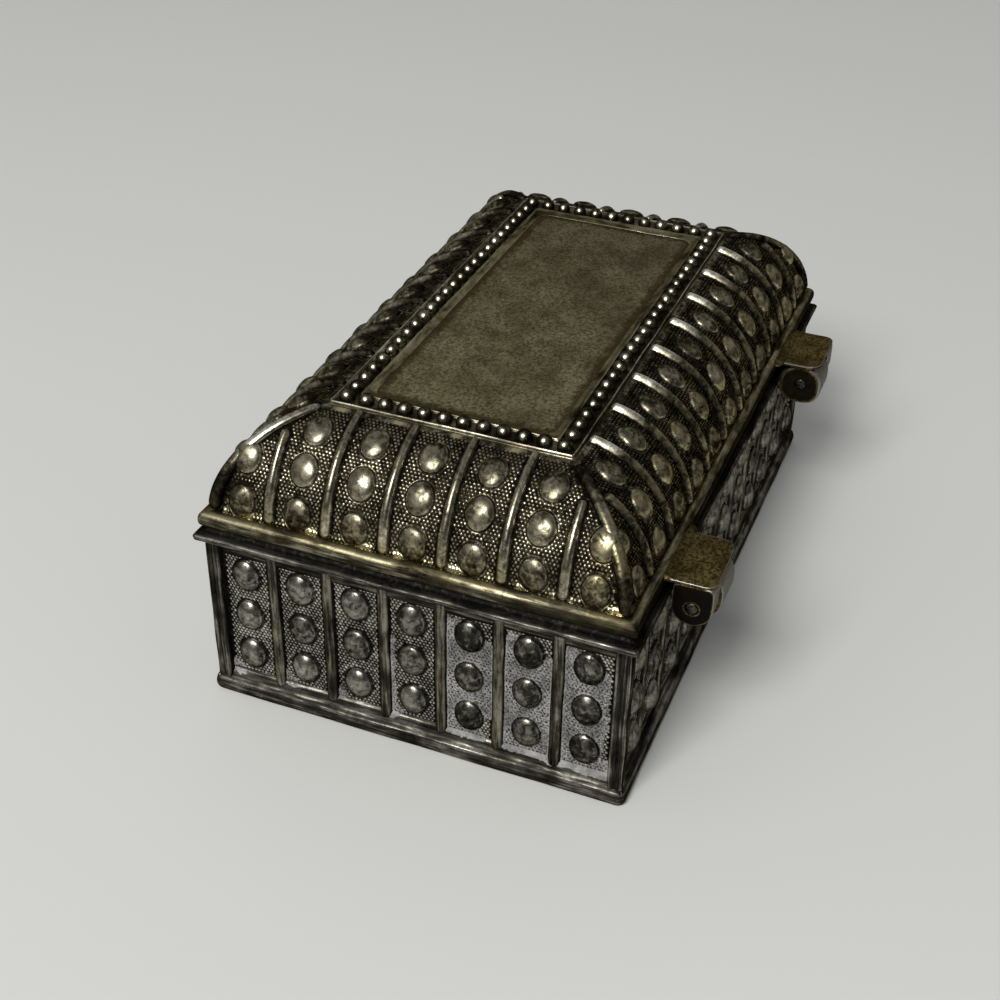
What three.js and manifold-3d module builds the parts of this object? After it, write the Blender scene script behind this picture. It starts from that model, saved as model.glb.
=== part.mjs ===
// A small hinged jewellery casket in cast white metal, with a coved and panelled lid.
// Millimetres, +Z up. The long axis is X, the two hinges are on the +Y side, and the box stands on z = 0.
// Every level of the box is a rectangle, given by its half width s in Y: its half length in X is s + LONGER.
import * as THREE from "three";
import { mergeVertices } from "three/addons/utils/BufferGeometryUtils.js";
import Module from "manifold-3d";

const wasm = await Module();
wasm.setup();

// Driving dimensions
const LONGER = 20;
const SEAM = 0.1; // half the gap that is left along each mitred corner
const SNUG = 0.15; // gap between a lining or a plate and what holds it
const SINK = 0.3; // how deep an ornament is rooted in the metal under it

// Base walls, from the floor up
const PLINTH = { s: 32.65, top: 2.0, edge: 0.5 };
const GROUND = 31.0; // half width at the sunk ground of the wall panels
const SLOPE_TOP = { s: 31.3, z: 3.2 }; // where the plinth's slope meets the ledge under the panels
const PANEL_FOOT = 4.3;
const PANEL_HEAD = 25.4;
const PANEL_LIP = 25.9; // where the hollow under the rim starts
const UNDER_RIM = { s: 32.5, z: 27.6 };
const RIM_EDGE = { s: 33.2, z: 28.7 };
const RIM_SHOULDER = { s: 32.3, z: 29.4 };
const RIM_GROOVE = 31.7; // outer level of the raised face that the lid closes on
const JOINT_Z = 30.15; // top of the base rim
const INNER = 29.0; // half width inside the walls
const REBATE = { s: 30.3, top: 2.2 }; // the step that takes the bottom plate
const POST = { s: 32.15, width: 2.4, foot: 3.1 };

// Ornament: columns of oval bosses between ribs, seven across an end and eleven along a side
const END = { columns: 7, pitch: 8.72 };
const SIDE = { columns: 11, pitch: 9.27 };
const BOSS_SIDES = 6;
const BOSS = { across: 4.4, tall: 5.4, rise: 1.4 };
const BASE_ROWS = [7.95, 15.2, 22.45]; // heights of the three boss rows
const BASE_RIB = { foot: 1.8, crest: 1.3, rise: 0.7, head: 25.8 };
const LID_BOSS = { across: 3.95, tall: 4.85, rise: 0.95 };
const LID_ROWS = [12.4, 37.9, 61.9]; // slopes of the three rows on the cove, in degrees
const LID_RIB = { foot: 1.7, crest: 0.8, rise: 0.85 };
const BESIDE_HIP = 1.35; // how far in from the hip a boss must stand
const SHIFTED_MOST = 1.5; // a boss that would have to move further than this is left out
const SHIFTED_SIZE = 0.78; // a boss moved in from the hip is that much smaller

// Lid
const LID_FOOT = JOINT_Z + 0.25;
const LID_RIM = { s: 32.5, top: 32.65, under: 0.5, over: 0.35, inner: 31.15 };
const COVE_FOOT = { s: 30.6, z: 33.1 };
const COVE_HEAD = { s: 18.2, z: 46.1 };
const COVE_SAG = 3.2; // how far the cove bows out from the straight line between its ends
const COVE_STEPS = 6;
const LID_WALL = 1.9;
const CORNER = 1.2; // radius of the hips
const HIP_CREST = 0.6; // how far the ridge on each hip stands beyond the corner of the cove
const BAND_FOOT = 19.35; // level of the lower edge of the plain band above the ribs
const BEADS = { s: 16.3, z: 46.8, radius: 1.24, along: 26, across: 12 };
const CHANNEL = { outer: 17.4, inner: 15.2, z: 45.95 };
const FILLET = 0.5; // how far the thin edge round the channel stands up from the head of the cove
const MOULDING = { outer: 15.05, inner: 14.5, top: 46.65 }; // round the panel
const PANEL = { s: 14.1, z: 46.1, thick: 0.9 };
const LEDGE = { s: 13.2, thick: 0.9 };

// Hinges: a plate on the lid rim carries the outer knuckle, and the inner knuckle stands on the base rim
const PIN = { y: 36.65, z: 27.95, radius: 0.9, bore: 1.0, proud: 0.15 };
const LEAF_PLATE = { length: 12, reach: 39.6, top: 32.1, thick: 0.6, corner: 2.2 };
const LID_KNUCKLE = { length: 3.8, radius: 2.9 };
const BASE_KNUCKLE = { length: 6.6, gap: 0.3, outer: 40.05, top: 31.25, bottom: 24.2, round: 3.1 };
const KNUCKLE_NECK = { brow: 34.1, drop: 0.9, wall: 32.65, foot: 26.4 }; // keeps the base knuckle off its rim
const HINGES = { right: { end: 40.3, turn: 1 }, left: { end: -35.9, turn: -1 } };

// Bottom and linings
const FELT = 0.85;
const PLATE = { foot: 0.95, top: 2.05 };
const LINING = 0.8;
const LINING_TOP = 28.6;
const FLOOR_PAD = 3.0;

// Finishes
const finish = (color, roughness, metalness) =>
  new THREE.MeshStandardMaterial({ color, roughness, metalness });
const castMetal = finish(0x6f6a5c, 0.42, 0.95);
const panelMetal = finish(0x5d5745, 0.5, 0.9);
const hingeMetal = finish(0x6b5d3c, 0.5, 0.9);
const pinMetal = finish(0x77736a, 0.35, 1);
const plateMetal = finish(0x55524b, 0.6, 0.9);
const velvet = finish(0x5a1420, 0.95, 0);
const felt = finish(0x2c3a2e, 1, 0);

// Solids: a three.js geometry goes to the boolean library and comes back as one closed mesh
function solid(geometry) {
  const bare = geometry.clone();
  bare.deleteAttribute("normal");
  bare.deleteAttribute("uv");
  const merged = mergeVertices(bare, 1e-4);
  const vertProperties = new Float32Array(merged.attributes.position.array);
  const triVerts = new Uint32Array(merged.index.array);
  return new wasm.Manifold(new wasm.Mesh({ numProp: 3, vertProperties, triVerts }));
}

function toGeometry(manifold) {
  const mesh = manifold.getMesh();
  const geometry = new THREE.BufferGeometry();
  geometry.setAttribute("position", new THREE.BufferAttribute(new Float32Array(mesh.vertProperties), 3));
  geometry.setIndex(new THREE.BufferAttribute(new Uint32Array(mesh.triVerts), 1));
  geometry.computeVertexNormals();
  return geometry;
}

const join = (first, ...others) => others.reduce((whole, piece) => whole.add(piece), first);

function named(name, shape, material) {
  const geometry = shape.isBufferGeometry ? shape : toGeometry(shape);
  const mesh = new THREE.Mesh(geometry, material);
  mesh.name = name;
  return mesh;
}

// A solid through rings of points that all have the same outline. A loop closes on itself and has no ends.
function loft(rings, outline, loop = false) {
  const count = outline.length;
  const position = rings.flat().flatMap((point) => [point.x, point.y, point.z]);
  const index = [];
  const spans = loop ? rings.length : rings.length - 1;
  for (let ring = 0; ring < spans; ring++) {
    const here = ring * count;
    const there = ((ring + 1) % rings.length) * count;
    for (let i = 0; i < count; i++) {
      const j = (i + 1) % count;
      index.push(here + i, there + i, there + j, here + i, there + j, here + j);
    }
  }
  if (!loop) {
    const last = (rings.length - 1) * count;
    const clockwise = THREE.ShapeUtils.isClockWise(outline);
    for (const [a, b, c] of THREE.ShapeUtils.triangulateShape(outline, [])) {
      const [first, third] = clockwise ? [c, a] : [a, c];
      index.push(first, b, third, last + third, last + b, last + first);
    }
  }
  const geometry = new THREE.BufferGeometry();
  geometry.setAttribute("position", new THREE.Float32BufferAttribute(position, 3));
  geometry.setIndex(index);
  const made = solid(geometry);
  if (made.volume() > 0) return made;
  for (let i = 0; i < index.length; i += 3) {
    [index[i], index[i + 1]] = [index[i + 1], index[i]];
  }
  geometry.setIndex(index);
  return solid(geometry);
}

const outlineOf = (points) => points.map(([s, z]) => new THREE.Vector2(s, z));

// The rectangle at the level s, with round corners, as points in order round the box
function roundRectangle(s, corner) {
  const points = [];
  for (let turn = 0; turn < 4; turn++) {
    const sx = turn === 0 || turn === 3 ? 1 : -1;
    const sy = turn < 2 ? 1 : -1;
    for (const step of [0, 1, 2]) {
      const angle = ((turn + step / 2) * Math.PI) / 2;
      const x = sx * (s + LONGER - corner) + corner * Math.cos(angle);
      points.push(new THREE.Vector2(x, sy * (s - corner) + corner * Math.sin(angle)));
    }
  }
  return points;
}

const levelRing = ([s, z], corner) =>
  roundRectangle(s, corner).map(({ x, y }) => new THREE.Vector3(x, y, z));

// A solid block whose rectangles follow the [s, z] levels from its foot to its head
function block(levels, corner) {
  const rings = levels.map((level) => levelRing(level, corner));
  return loft(rings, roundRectangle(levels[0][0], corner));
}

// A frame round the whole box, whose section is the outline of [s, z] points
function frame(points, corner) {
  const levels = points.map((point) => levelRing(point, corner));
  const stations = levels[0].map((_, i) => levels.map((level) => level[i]));
  return loft(stations, outlineOf(points), true);
}

// One side of the box in its own frame: x along it, y outward. An end's outward places lie LONGER further
// out than a long side's.
const SIDES = {
  back: { angle: 0, out: 0, ornament: SIDE },
  left: { angle: Math.PI / 2, out: LONGER, ornament: END },
  front: { angle: Math.PI, out: 0, ornament: SIDE },
  right: { angle: -Math.PI / 2, out: LONGER, ornament: END },
};
const alongOf = (side, s) => s + LONGER - side.out; // half length of the side at the level s

// A bar along one side with the outline of [s, z] points. from and to give its ends at each level s.
function bar(side, points, from, to) {
  const outline = outlineOf(points);
  const ring = (end) => outline.map(({ x: s, y: z }) => new THREE.Vector3(end(s), s + side.out, z));
  return loft([ring(from), ring(to)], outline);
}

const columnPlaces = ({ columns, pitch }) =>
  Array.from({ length: columns }, (_, i) => (i - (columns - 1) / 2) * pitch);
const ribPlaces = ({ columns, pitch }) =>
  Array.from({ length: columns - 1 }, (_, i) => (i - (columns - 2) / 2) * pitch);

// An oval boss, bulging along +Y
function boss({ across, tall, rise }) {
  const dome = new THREE.SphereGeometry(1, BOSS_SIDES, 4);
  dome.scale(across / 2, rise + SINK, tall / 2);
  dome.translate(0, -SINK, 0);
  return dome;
}

// Base: four cast walls, mitred at the corners, each with its part of the plinth and the rim
const WALL_OUTLINE = [
  [PLINTH.s - PLINTH.edge, 0],
  [PLINTH.s, PLINTH.edge],
  [PLINTH.s, PLINTH.top],
  [PLINTH.s - PLINTH.edge, PLINTH.top + PLINTH.edge],
  [SLOPE_TOP.s, SLOPE_TOP.z],
  [GROUND, PANEL_FOOT],
  [GROUND, PANEL_HEAD],
  [POST.s, PANEL_LIP],
  [UNDER_RIM.s, UNDER_RIM.z],
  [RIM_EDGE.s, RIM_EDGE.z],
  [RIM_SHOULDER.s, RIM_SHOULDER.z],
  [RIM_GROOVE, JOINT_Z],
  [INNER, JOINT_Z],
  [INNER, REBATE.top],
  [REBATE.s, REBATE.top],
  [REBATE.s, 0],
];
const POST_OUTLINE = [
  [GROUND - SINK, POST.foot],
  [POST.s, POST.foot],
  [POST.s, PANEL_LIP],
  [GROUND - SINK, PANEL_LIP],
];

function baseRib(u, side) {
  const { foot, crest, rise, head } = BASE_RIB;
  const section = new THREE.Shape([
    new THREE.Vector2(u - foot / 2, -SINK),
    new THREE.Vector2(u + foot / 2, -SINK),
    new THREE.Vector2(u + crest / 2, rise),
    new THREE.Vector2(u - crest / 2, rise),
  ]);
  const rib = new THREE.ExtrudeGeometry(section, { depth: head - SLOPE_TOP.z, bevelEnabled: false });
  rib.translate(0, GROUND + side.out, SLOPE_TOP.z);
  return solid(rib);
}

function baseWall(side) {
  const end = (s) => alongOf(side, s) - SEAM;
  const postEdge = () => alongOf(side, POST.s) - POST.width;
  const pieces = [
    bar(side, WALL_OUTLINE, (s) => -end(s), end),
    bar(side, POST_OUTLINE, postEdge, end),
    bar(side, POST_OUTLINE, (s) => -end(s), () => -postEdge()),
  ];
  for (const u of ribPlaces(side.ornament)) pieces.push(baseRib(u, side));
  for (const u of columnPlaces(side.ornament)) {
    for (const z of BASE_ROWS) pieces.push(solid(boss(BOSS).translate(u, GROUND + side.out, z)));
  }
  return join(...pieces);
}

// Cove: an arc between its foot and its head, given by how far it sags from the chord
function coveArc() {
  const chord = new THREE.Vector2(COVE_HEAD.s - COVE_FOOT.s, COVE_HEAD.z - COVE_FOOT.z);
  const half = chord.length() / 2;
  const radius = (half * half + COVE_SAG * COVE_SAG) / (2 * COVE_SAG);
  const outward = new THREE.Vector2(chord.y, -chord.x).normalize();
  const centre = new THREE.Vector2(COVE_FOOT.s, COVE_FOOT.z)
    .addScaledVector(chord, 0.5)
    .addScaledVector(outward, COVE_SAG - radius);
  const angleOf = ({ s, z }) => Math.atan2(z - centre.y, s - centre.x);
  return { centre, radius, low: angleOf(COVE_FOOT), high: angleOf(COVE_HEAD) };
}
const COVE = coveArc();

const covePoint = (angle, offset = 0) => [
  COVE.centre.x + (COVE.radius + offset) * Math.cos(angle),
  COVE.centre.y + (COVE.radius + offset) * Math.sin(angle),
];
const coveSteps = (low, high, steps = COVE_STEPS) =>
  Array.from({ length: steps + 1 }, (_, i) => low + ((high - low) * i) / steps);

const RIB_START = COVE.low - 0.05; // the ribs and hip ridges run down into the rim
const coveAngleOf = (s) => Math.acos((s - COVE.centre.x) / COVE.radius);

const CEILING = PANEL.z - PANEL.thick - LEDGE.thick;
// The angle on the cove, moved in by offset, that lies at the height z
const coveAngleAt = (z, offset) => Math.asin((z - COVE.centre.y) / (COVE.radius + offset));

const LID_OUTLINE = [
  [COVE_FOOT.s - LID_WALL, LID_FOOT],
  [LID_RIM.s - LID_RIM.under, LID_FOOT],
  [LID_RIM.s, LID_FOOT + LID_RIM.under],
  [LID_RIM.s, LID_RIM.top - LID_RIM.over],
  [LID_RIM.s - LID_RIM.over, LID_RIM.top],
  [LID_RIM.inner, LID_RIM.top],
  ...coveSteps(COVE.low, COVE.high).map((angle) => covePoint(angle)),
  [COVE_HEAD.s, COVE_HEAD.z + FILLET],
  [COVE_HEAD.s - FILLET, COVE_HEAD.z + FILLET],
  [CHANNEL.outer, CHANNEL.z],
  [CHANNEL.inner, CHANNEL.z],
  [MOULDING.outer, MOULDING.top],
  [MOULDING.inner, MOULDING.top],
  [PANEL.s + SNUG, PANEL.z],
  [PANEL.s + SNUG, PANEL.z - PANEL.thick - SNUG],
  [LEDGE.s, PANEL.z - PANEL.thick - SNUG],
  [LEDGE.s, CEILING],
  ...coveSteps(coveAngleAt(CEILING, -LID_WALL), coveAngleAt(COVE_FOOT.z, -LID_WALL)).map((angle) =>
    covePoint(angle, -LID_WALL),
  ),
];

// A rib over the cove at u along the side. It ends at the plain band, or where it meets the hip.
function lidRib(u, side) {
  const { foot, crest, rise } = LID_RIB;
  const onHip = Math.abs(u) - (LONGER - side.out); // the level s of the hip at this place
  const top = coveAngleOf(Math.max(onHip, BAND_FOOT));
  const outline = [
    [u - foot / 2, -SINK],
    [u - crest / 2, rise],
    [u + crest / 2, rise],
    [u + foot / 2, -SINK],
  ];
  const rings = coveSteps(RIB_START, top).map((angle) =>
    outline.map(([along, height]) => {
      const [s, z] = covePoint(angle, height);
      return new THREE.Vector3(along, s + side.out, z);
    }),
  );
  return loft(rings, outlineOf(outline));
}

function lidBosses(side) {
  const made = [];
  for (const u of columnPlaces(side.ornament)) {
    for (const slope of LID_ROWS) {
      const angle = THREE.MathUtils.degToRad(slope);
      const [s, z] = covePoint(angle);
      const furthest = alongOf(side, s) - BESIDE_HIP;
      const shifted = Math.abs(u) > furthest;
      if (Math.abs(u) > furthest + SHIFTED_MOST) continue;
      const along = shifted ? Math.sign(u) * furthest : u;
      const size = shifted ? SHIFTED_SIZE : 1;
      const dome = boss(LID_BOSS).scale(size, size, size).rotateX(angle);
      made.push(solid(dome.translate(along, s + side.out, z)));
    }
  }
  return made;
}

// The hip ridge at one corner, from the rim up to the head
function hipRidge(sx, sy) {
  const half = LID_RIB.foot / 2;
  const outline = outlineOf([
    [-half, -1],
    [half, -1],
    [half / 2, HIP_CREST],
    [-half / 2, HIP_CREST],
  ]);
  const rings = coveSteps(RIB_START, COVE.high).map((angle) => {
    const [s, z] = covePoint(angle);
    const length = Math.hypot(Math.SQRT2 * Math.cos(angle), 2 * Math.sin(angle));
    return outline.map(({ x: side, y: out }) => {
      const flat = (out * Math.cos(angle)) / length;
      const up = (2 * out * Math.sin(angle)) / length;
      const skew = side / Math.SQRT2;
      return new THREE.Vector3(sx * (s + LONGER + flat + skew), sy * (s + flat - skew), z + up);
    });
  });
  return loft(rings, outline);
}

function beadRow() {
  const made = [];
  const bead = (x, y) => {
    const ball = new THREE.SphereGeometry(BEADS.radius, 6, 4).rotateX(Math.PI / 2);
    made.push(solid(ball.translate(x, y, BEADS.z)));
  };
  const halfLength = BEADS.s + LONGER;
  for (let i = 0; i < BEADS.along; i++) {
    const x = halfLength * ((2 * i) / (BEADS.along - 1) - 1);
    bead(x, BEADS.s);
    bead(x, -BEADS.s);
  }
  for (let i = 1; i < BEADS.across - 1; i++) {
    const y = BEADS.s * ((2 * i) / (BEADS.across - 1) - 1);
    bead(halfLength, y);
    bead(-halfLength, y);
  }
  return made;
}

function lidCasting() {
  const pieces = [frame(LID_OUTLINE, CORNER)];
  for (const side of Object.values(SIDES)) {
    const worn = [...ribPlaces(side.ornament).map((u) => lidRib(u, side)), ...lidBosses(side)];
    const turned = new THREE.Matrix4().makeRotationZ(side.angle);
    pieces.push(...worn.map((piece) => piece.transform(turned.elements)));
  }
  for (const sx of [1, -1]) {
    for (const sy of [1, -1]) pieces.push(hipRidge(sx, sy));
  }
  return join(...pieces, ...beadRow());
}

// Plain plates and pads, centred on the box
function slab(s, foot, top) {
  const plate = new THREE.BoxGeometry(2 * (s + LONGER), 2 * s, top - foot);
  return plate.translate(0, 0, (foot + top) / 2);
}

// Hinges. Each is made as the right one, with its outer face at x = 0 and the rest on -x, then put in place.
const alongX = (radius, sides, from, to) =>
  new THREE.CylinderGeometry(radius, radius, to - from, sides)
    .rotateZ(Math.PI / 2)
    .translate((from + to) / 2, PIN.y, PIN.z);

// A section in [y, z] points, extruded along x from one place to another
function section(shape, from, to) {
  const depth = to - from;
  const geometry = new THREE.ExtrudeGeometry(shape, { depth, bevelEnabled: false, curveSegments: 4 });
  geometry.rotateX(Math.PI / 2).rotateZ(Math.PI / 2);
  return solid(geometry.translate(from, 0, 0));
}

function bored(knuckle) {
  const length = LEAF_PLATE.length + 2;
  return knuckle.subtract(solid(alongX(PIN.bore, 20, -length, 1)));
}

function lidLeaf() {
  const { length, reach, top, thick, corner } = LEAF_PLATE;
  const inner = LID_RIM.s + SNUG;
  const plan = new THREE.Shape();
  plan.moveTo(-length, inner);
  plan.lineTo(-length, reach - corner);
  plan.absarc(-length + corner, reach - corner, corner, Math.PI, Math.PI / 2, true);
  plan.lineTo(0, reach);
  plan.lineTo(0, inner);
  const plate = new THREE.ExtrudeGeometry(plan, { depth: thick, bevelEnabled: false, curveSegments: 4 });
  plate.translate(0, 0, top - thick);
  const knuckle = new THREE.Shape();
  knuckle.moveTo(PIN.y + LID_KNUCKLE.radius, top);
  knuckle.lineTo(PIN.y + LID_KNUCKLE.radius, PIN.z);
  knuckle.absarc(PIN.y, PIN.z, LID_KNUCKLE.radius, 0, Math.PI, true);
  knuckle.lineTo(PIN.y - LID_KNUCKLE.radius, top);
  return join(solid(plate), bored(section(knuckle, -LID_KNUCKLE.length, 0)));
}

function baseLeaf() {
  const { length, gap, outer, top, bottom, round } = BASE_KNUCKLE;
  const { brow, drop, wall, foot } = KNUCKLE_NECK;
  const shape = new THREE.Shape();
  shape.moveTo(wall, bottom);
  shape.lineTo(outer - round, bottom);
  shape.absarc(outer - round, bottom + round, round, -Math.PI / 2, 0, false);
  shape.absarc(outer - round, top - round, round, 0, Math.PI / 2, false);
  shape.lineTo(brow, top);
  shape.lineTo(RIM_EDGE.s + SNUG, top - drop);
  shape.lineTo(RIM_EDGE.s + SNUG, RIM_EDGE.z);
  shape.lineTo(wall, foot);
  const far = -LID_KNUCKLE.length - gap;
  return bored(section(shape, far - length, far));
}

function hingePin() {
  const far = -LID_KNUCKLE.length - BASE_KNUCKLE.gap - BASE_KNUCKLE.length;
  return alongX(PIN.radius, 16, far - PIN.proud, PIN.proud);
}

function hinge(hand, { end, turn }) {
  const group = new THREE.Group();
  const pieces = {
    ["lid_hinge_leaf_" + hand]: [lidLeaf(), hingeMetal],
    ["base_hinge_leaf_" + hand]: [baseLeaf(), hingeMetal],
    ["hinge_pin_" + hand]: [solid(hingePin()), pinMetal],
  };
  for (const [name, [shape, material]] of Object.entries(pieces)) {
    const handed = turn > 0 ? shape : shape.mirror([1, 0, 0]);
    group.add(named(name, handed, material));
  }
  group.position.x = end;
  return group;
}

// Linings
function wallLining(side) {
  const outer = INNER - SNUG;
  const trim = side.out ? LINING + SNUG : 0;
  const half = alongOf(side, outer) - trim;
  const lining = new THREE.BoxGeometry(2 * half, LINING, LINING_TOP - REBATE.top - SNUG);
  return lining.translate(0, outer - LINING / 2 + side.out, (LINING_TOP + REBATE.top + SNUG) / 2);
}

function lidLining() {
  const bowl = (offset, foot) => {
    const head = CEILING - offset + LID_WALL;
    const slopes = coveSteps(coveAngleAt(COVE_FOOT.z, -offset), coveAngleAt(head, -offset), 4);
    const arc = slopes.map((angle) => covePoint(angle, -offset));
    return block([[arc[0][0], foot], ...arc], CORNER);
  };
  const foot = LID_FOOT + 0.6;
  const skin = LID_WALL + SNUG;
  return bowl(skin, foot).subtract(bowl(skin + LINING, foot - 1));
}

const box = new THREE.Group();

const base = new THREE.Group();
for (const [name, side] of Object.entries(SIDES)) {
  const wall = named("base_wall_" + name, baseWall(side), castMetal);
  const lining = named("wall_lining_" + name, wallLining(side), velvet);
  const both = new THREE.Group();
  both.rotation.z = side.angle;
  both.add(wall, lining);
  base.add(both);
}
base.add(named("bottom_plate", slab(REBATE.s - SNUG, PLATE.foot, PLATE.top), plateMetal));
base.add(named("bottom_felt", slab(REBATE.s - SNUG, 0, FELT), felt));
const floorEdge = INNER - 2 * SNUG - LINING;
base.add(named("floor_pad", slab(floorEdge - SNUG, REBATE.top, REBATE.top + FLOOR_PAD), velvet));
box.add(base);

const lid = new THREE.Group();
lid.add(named("lid_casting", lidCasting(), castMetal));
const panelLevels = [PANEL.z - PANEL.thick, PANEL.z].map((z) => [PANEL.s, z]);
lid.add(named("lid_top_panel", block(panelLevels, CORNER), panelMetal));
lid.add(named("lid_lining", lidLining(), velvet));
box.add(lid);

for (const [hand, place] of Object.entries(HINGES)) box.add(hinge(hand, place));

export default box;
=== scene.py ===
# A small hinged jewellery casket in cast white metal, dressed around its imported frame.
# Lengths are in millimetres until a mesh is made. Every level of the box is a rectangle with the half
# width s in Y and the half length s + LONGER in X. The lid turns on two hinge pins on the +Y side.
import math

import bpy
import numpy as np
from mathutils import Matrix, Vector


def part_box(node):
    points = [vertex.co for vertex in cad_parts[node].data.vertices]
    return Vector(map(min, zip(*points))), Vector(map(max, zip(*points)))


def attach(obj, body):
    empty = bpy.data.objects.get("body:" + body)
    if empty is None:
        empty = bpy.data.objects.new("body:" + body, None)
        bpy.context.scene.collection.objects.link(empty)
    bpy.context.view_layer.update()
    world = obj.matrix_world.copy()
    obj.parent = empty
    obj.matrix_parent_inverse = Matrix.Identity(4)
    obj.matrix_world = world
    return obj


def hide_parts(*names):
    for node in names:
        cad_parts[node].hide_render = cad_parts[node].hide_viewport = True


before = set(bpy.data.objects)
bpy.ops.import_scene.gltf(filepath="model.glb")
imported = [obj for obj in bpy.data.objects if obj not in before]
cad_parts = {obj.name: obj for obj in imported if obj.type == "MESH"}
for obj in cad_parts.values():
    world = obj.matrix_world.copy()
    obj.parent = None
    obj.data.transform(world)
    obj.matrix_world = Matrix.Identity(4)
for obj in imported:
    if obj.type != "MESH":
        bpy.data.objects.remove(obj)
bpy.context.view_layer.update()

MM = 0.001
METRE = 1000.0
LONGER = 20.0
NEAR_WALL = 49.5  # x beyond which a place is on the wall nearest the camera
SHUT = 0.02  # half width of the tiny rectangle at which a plate closes over its middle
ROOT3 = math.sqrt(3)

# The four sides: how each is turned from +Y, how much further out it lies, and its columns of ornament
END = {"columns": 7, "pitch": 8.72, "granules": 15}
LONG = {"columns": 11, "pitch": 9.27, "granules": 16}
SIDES = {
    "back": {"turn": (1, 0), "out": 0, **LONG},
    "left": {"turn": (0, 1), "out": LONGER, **END},
    "front": {"turn": (-1, 0), "out": 0, **LONG},
    "right": {"turn": (0, -1), "out": LONGER, **END},
}

# Base
GROUND = 31.0
POST = {"s": 32.15, "width": 2.4, "round": 0.5, "groove": 1.1}
PANEL_FOOT = 4.3
PANEL_HEAD = 25.4
RELIEF_FOOT = 2.7
BOSS = {"across": 4.5, "tall": 5.45, "rise": 1.55, "brim": 0.25, "dome": (2.0, 0.7)}
BASE_ROWS = [7.95, 15.2, 22.45]
BASE_RIB = {"half": 0.92, "rise": 0.7, "flat": 2.6, "power": 0.6, "ridge": 4, "taper": 0.0, "wear": 0.64}

# Granules stand on a triangular lattice, one lattice step being a share of the column pitch
LID_GRANULE = {"radius": 0.245, "rise": 0.15, "vary": 0.12, "tip": 1.7, "spread": 0.4, "shine": 0.85}
BASE_GRANULE = {"radius": 0.27, "rise": 0.14, "vary": 0.06, "tip": 0.8, "spread": 0.15, "shine": 0.95}
LONG_SHINE = 0.6
APART = 0.2
COLLAR = {"out": 0.17, "half": 0.08, "rise": 0.13, "crest": 0.5}
GROOVE = {"round_boss": 0.09, "beside_rib": 0.16, "deep": 0.06}

# Lid: the cove is an arc of the circle round COVE, from its foot to the plain band under the bead channel
COVE = {"s": 16.435, "z": 32.002, "radius": 14.208}
COVE_FOOT = (30.6, 33.1)
COVE_HEAD = (18.2, 46.1)
BAND_FOOT = 19.35
LID_FOOT = 30.4
LID_WALL = 1.9
LID_BOSS = {"across": 4.15, "tall": 4.85, "rise": 0.95, "brim": 0.15, "dome": (1.9, 0.5)}
LID_ROWS = [12.4, 37.9, 61.9]
LID_RIB = {
    "half": 0.84, "rise": 0.85, "flat": 2.0, "power": 0.6, "ridge": 4, "taper": 0.35, "start": -0.55,
    "wear": 1.0,
}
LONG_SIDE_BOSS = {"rise": 1.15, "dome": (2.0, 0.7)}
HINGE_SIDE_RIB = {"flat": 1.4, "power": 0.85, "ridge": 1.2, "taper": -0.1, "wear": 0.85}
BESIDE_HIP = 1.35
SHIFTED_MOST = 1.5
SHIFTED_SIZE = 0.78
HIP = {"half": 1.0, "rise": 0.85}
BEADS = {"s": 16.3, "z": 46.6, "radius": 1.24, "vary": (0.87, 0.94), "along": 26, "across": 12}
PANEL = {"s": 14.1, "z": 46.1, "thick": 0.9}

# Hinges
PIN = {"y": 36.65, "z": 27.95, "radius": 0.9, "bore": 1.0}
HINGES = {"right": {"end": 40.3, "turn": 1}, "left": {"end": -35.9, "turn": -1}}


# Shapes

def smooth(low, high, value):
    """0 below low, 1 above high and an even slope between."""
    t = np.clip((value - low) / (high - low), 0, 1)
    return t * t * (3 - 2 * t)


def near(value, place, wide):
    """1 at the place, and falling away to nothing on both sides of it."""
    return np.exp(-(((value - place) / wide) ** 2))


WAVES = np.random.default_rng(11).normal(size=(9, 3))
WAVES *= 2 * math.pi / (np.linspace(5, 21, 9) * np.linalg.norm(WAVES, axis=1))[:, None]
WAVE_SHIFTS = np.random.default_rng(12).normal(size=(9, 3)) * 0.014
WAVE_STARTS = np.linspace(0, 40, 9)


def uneven(points):
    """The points with the slow waver of a cast surface, a few hundredths of a millimetre."""
    return points + np.sin(points @ WAVES.T + WAVE_STARTS) @ WAVE_SHIFTS


def patches(points, size, seed):
    """Slow random patches of about that size over the points, from -1 to 1."""
    ways = np.random.default_rng(seed).normal(size=(7, 3))
    ways *= 2 * math.pi / (size * np.linspace(0.7, 1.6, 7) * np.linalg.norm(ways, axis=1))[:, None]
    return np.sin(points @ ways.T + np.linspace(0, 30, 7)).sum(-1) / 4


class Form:
    """Points in millimetres with their faces and paint, gathered part by part. crest says how bright a
    place is painted, mostly for wear, in some places as a painted highlight and in others as painted
    shade, chalk how dusty, drawn how far it is streaked on the level, and upright up and down."""

    def __init__(self):
        self.points, self.faces, self.count = [], [], 0
        self.paint = {"crest": [], "chalk": [], "drawn": [], "upright": []}

    def add(self, points, faces, crest=0.7, chalk=0.0, drawn=0.0, upright=0.0):
        """faces are arrays of corner numbers, with a row for each face."""
        points = np.asarray(points, float).reshape(-1, 3)
        self.points.append(points)
        for channel, value in {"crest": crest, "chalk": chalk, "drawn": drawn, "upright": upright}.items():
            values = np.asarray(value, float).reshape(-1)
            self.paint[channel].append(np.broadcast_to(values, (len(points),)))
        self.faces += [np.asarray(face) + self.count for face in faces]
        self.count += len(points)


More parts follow.
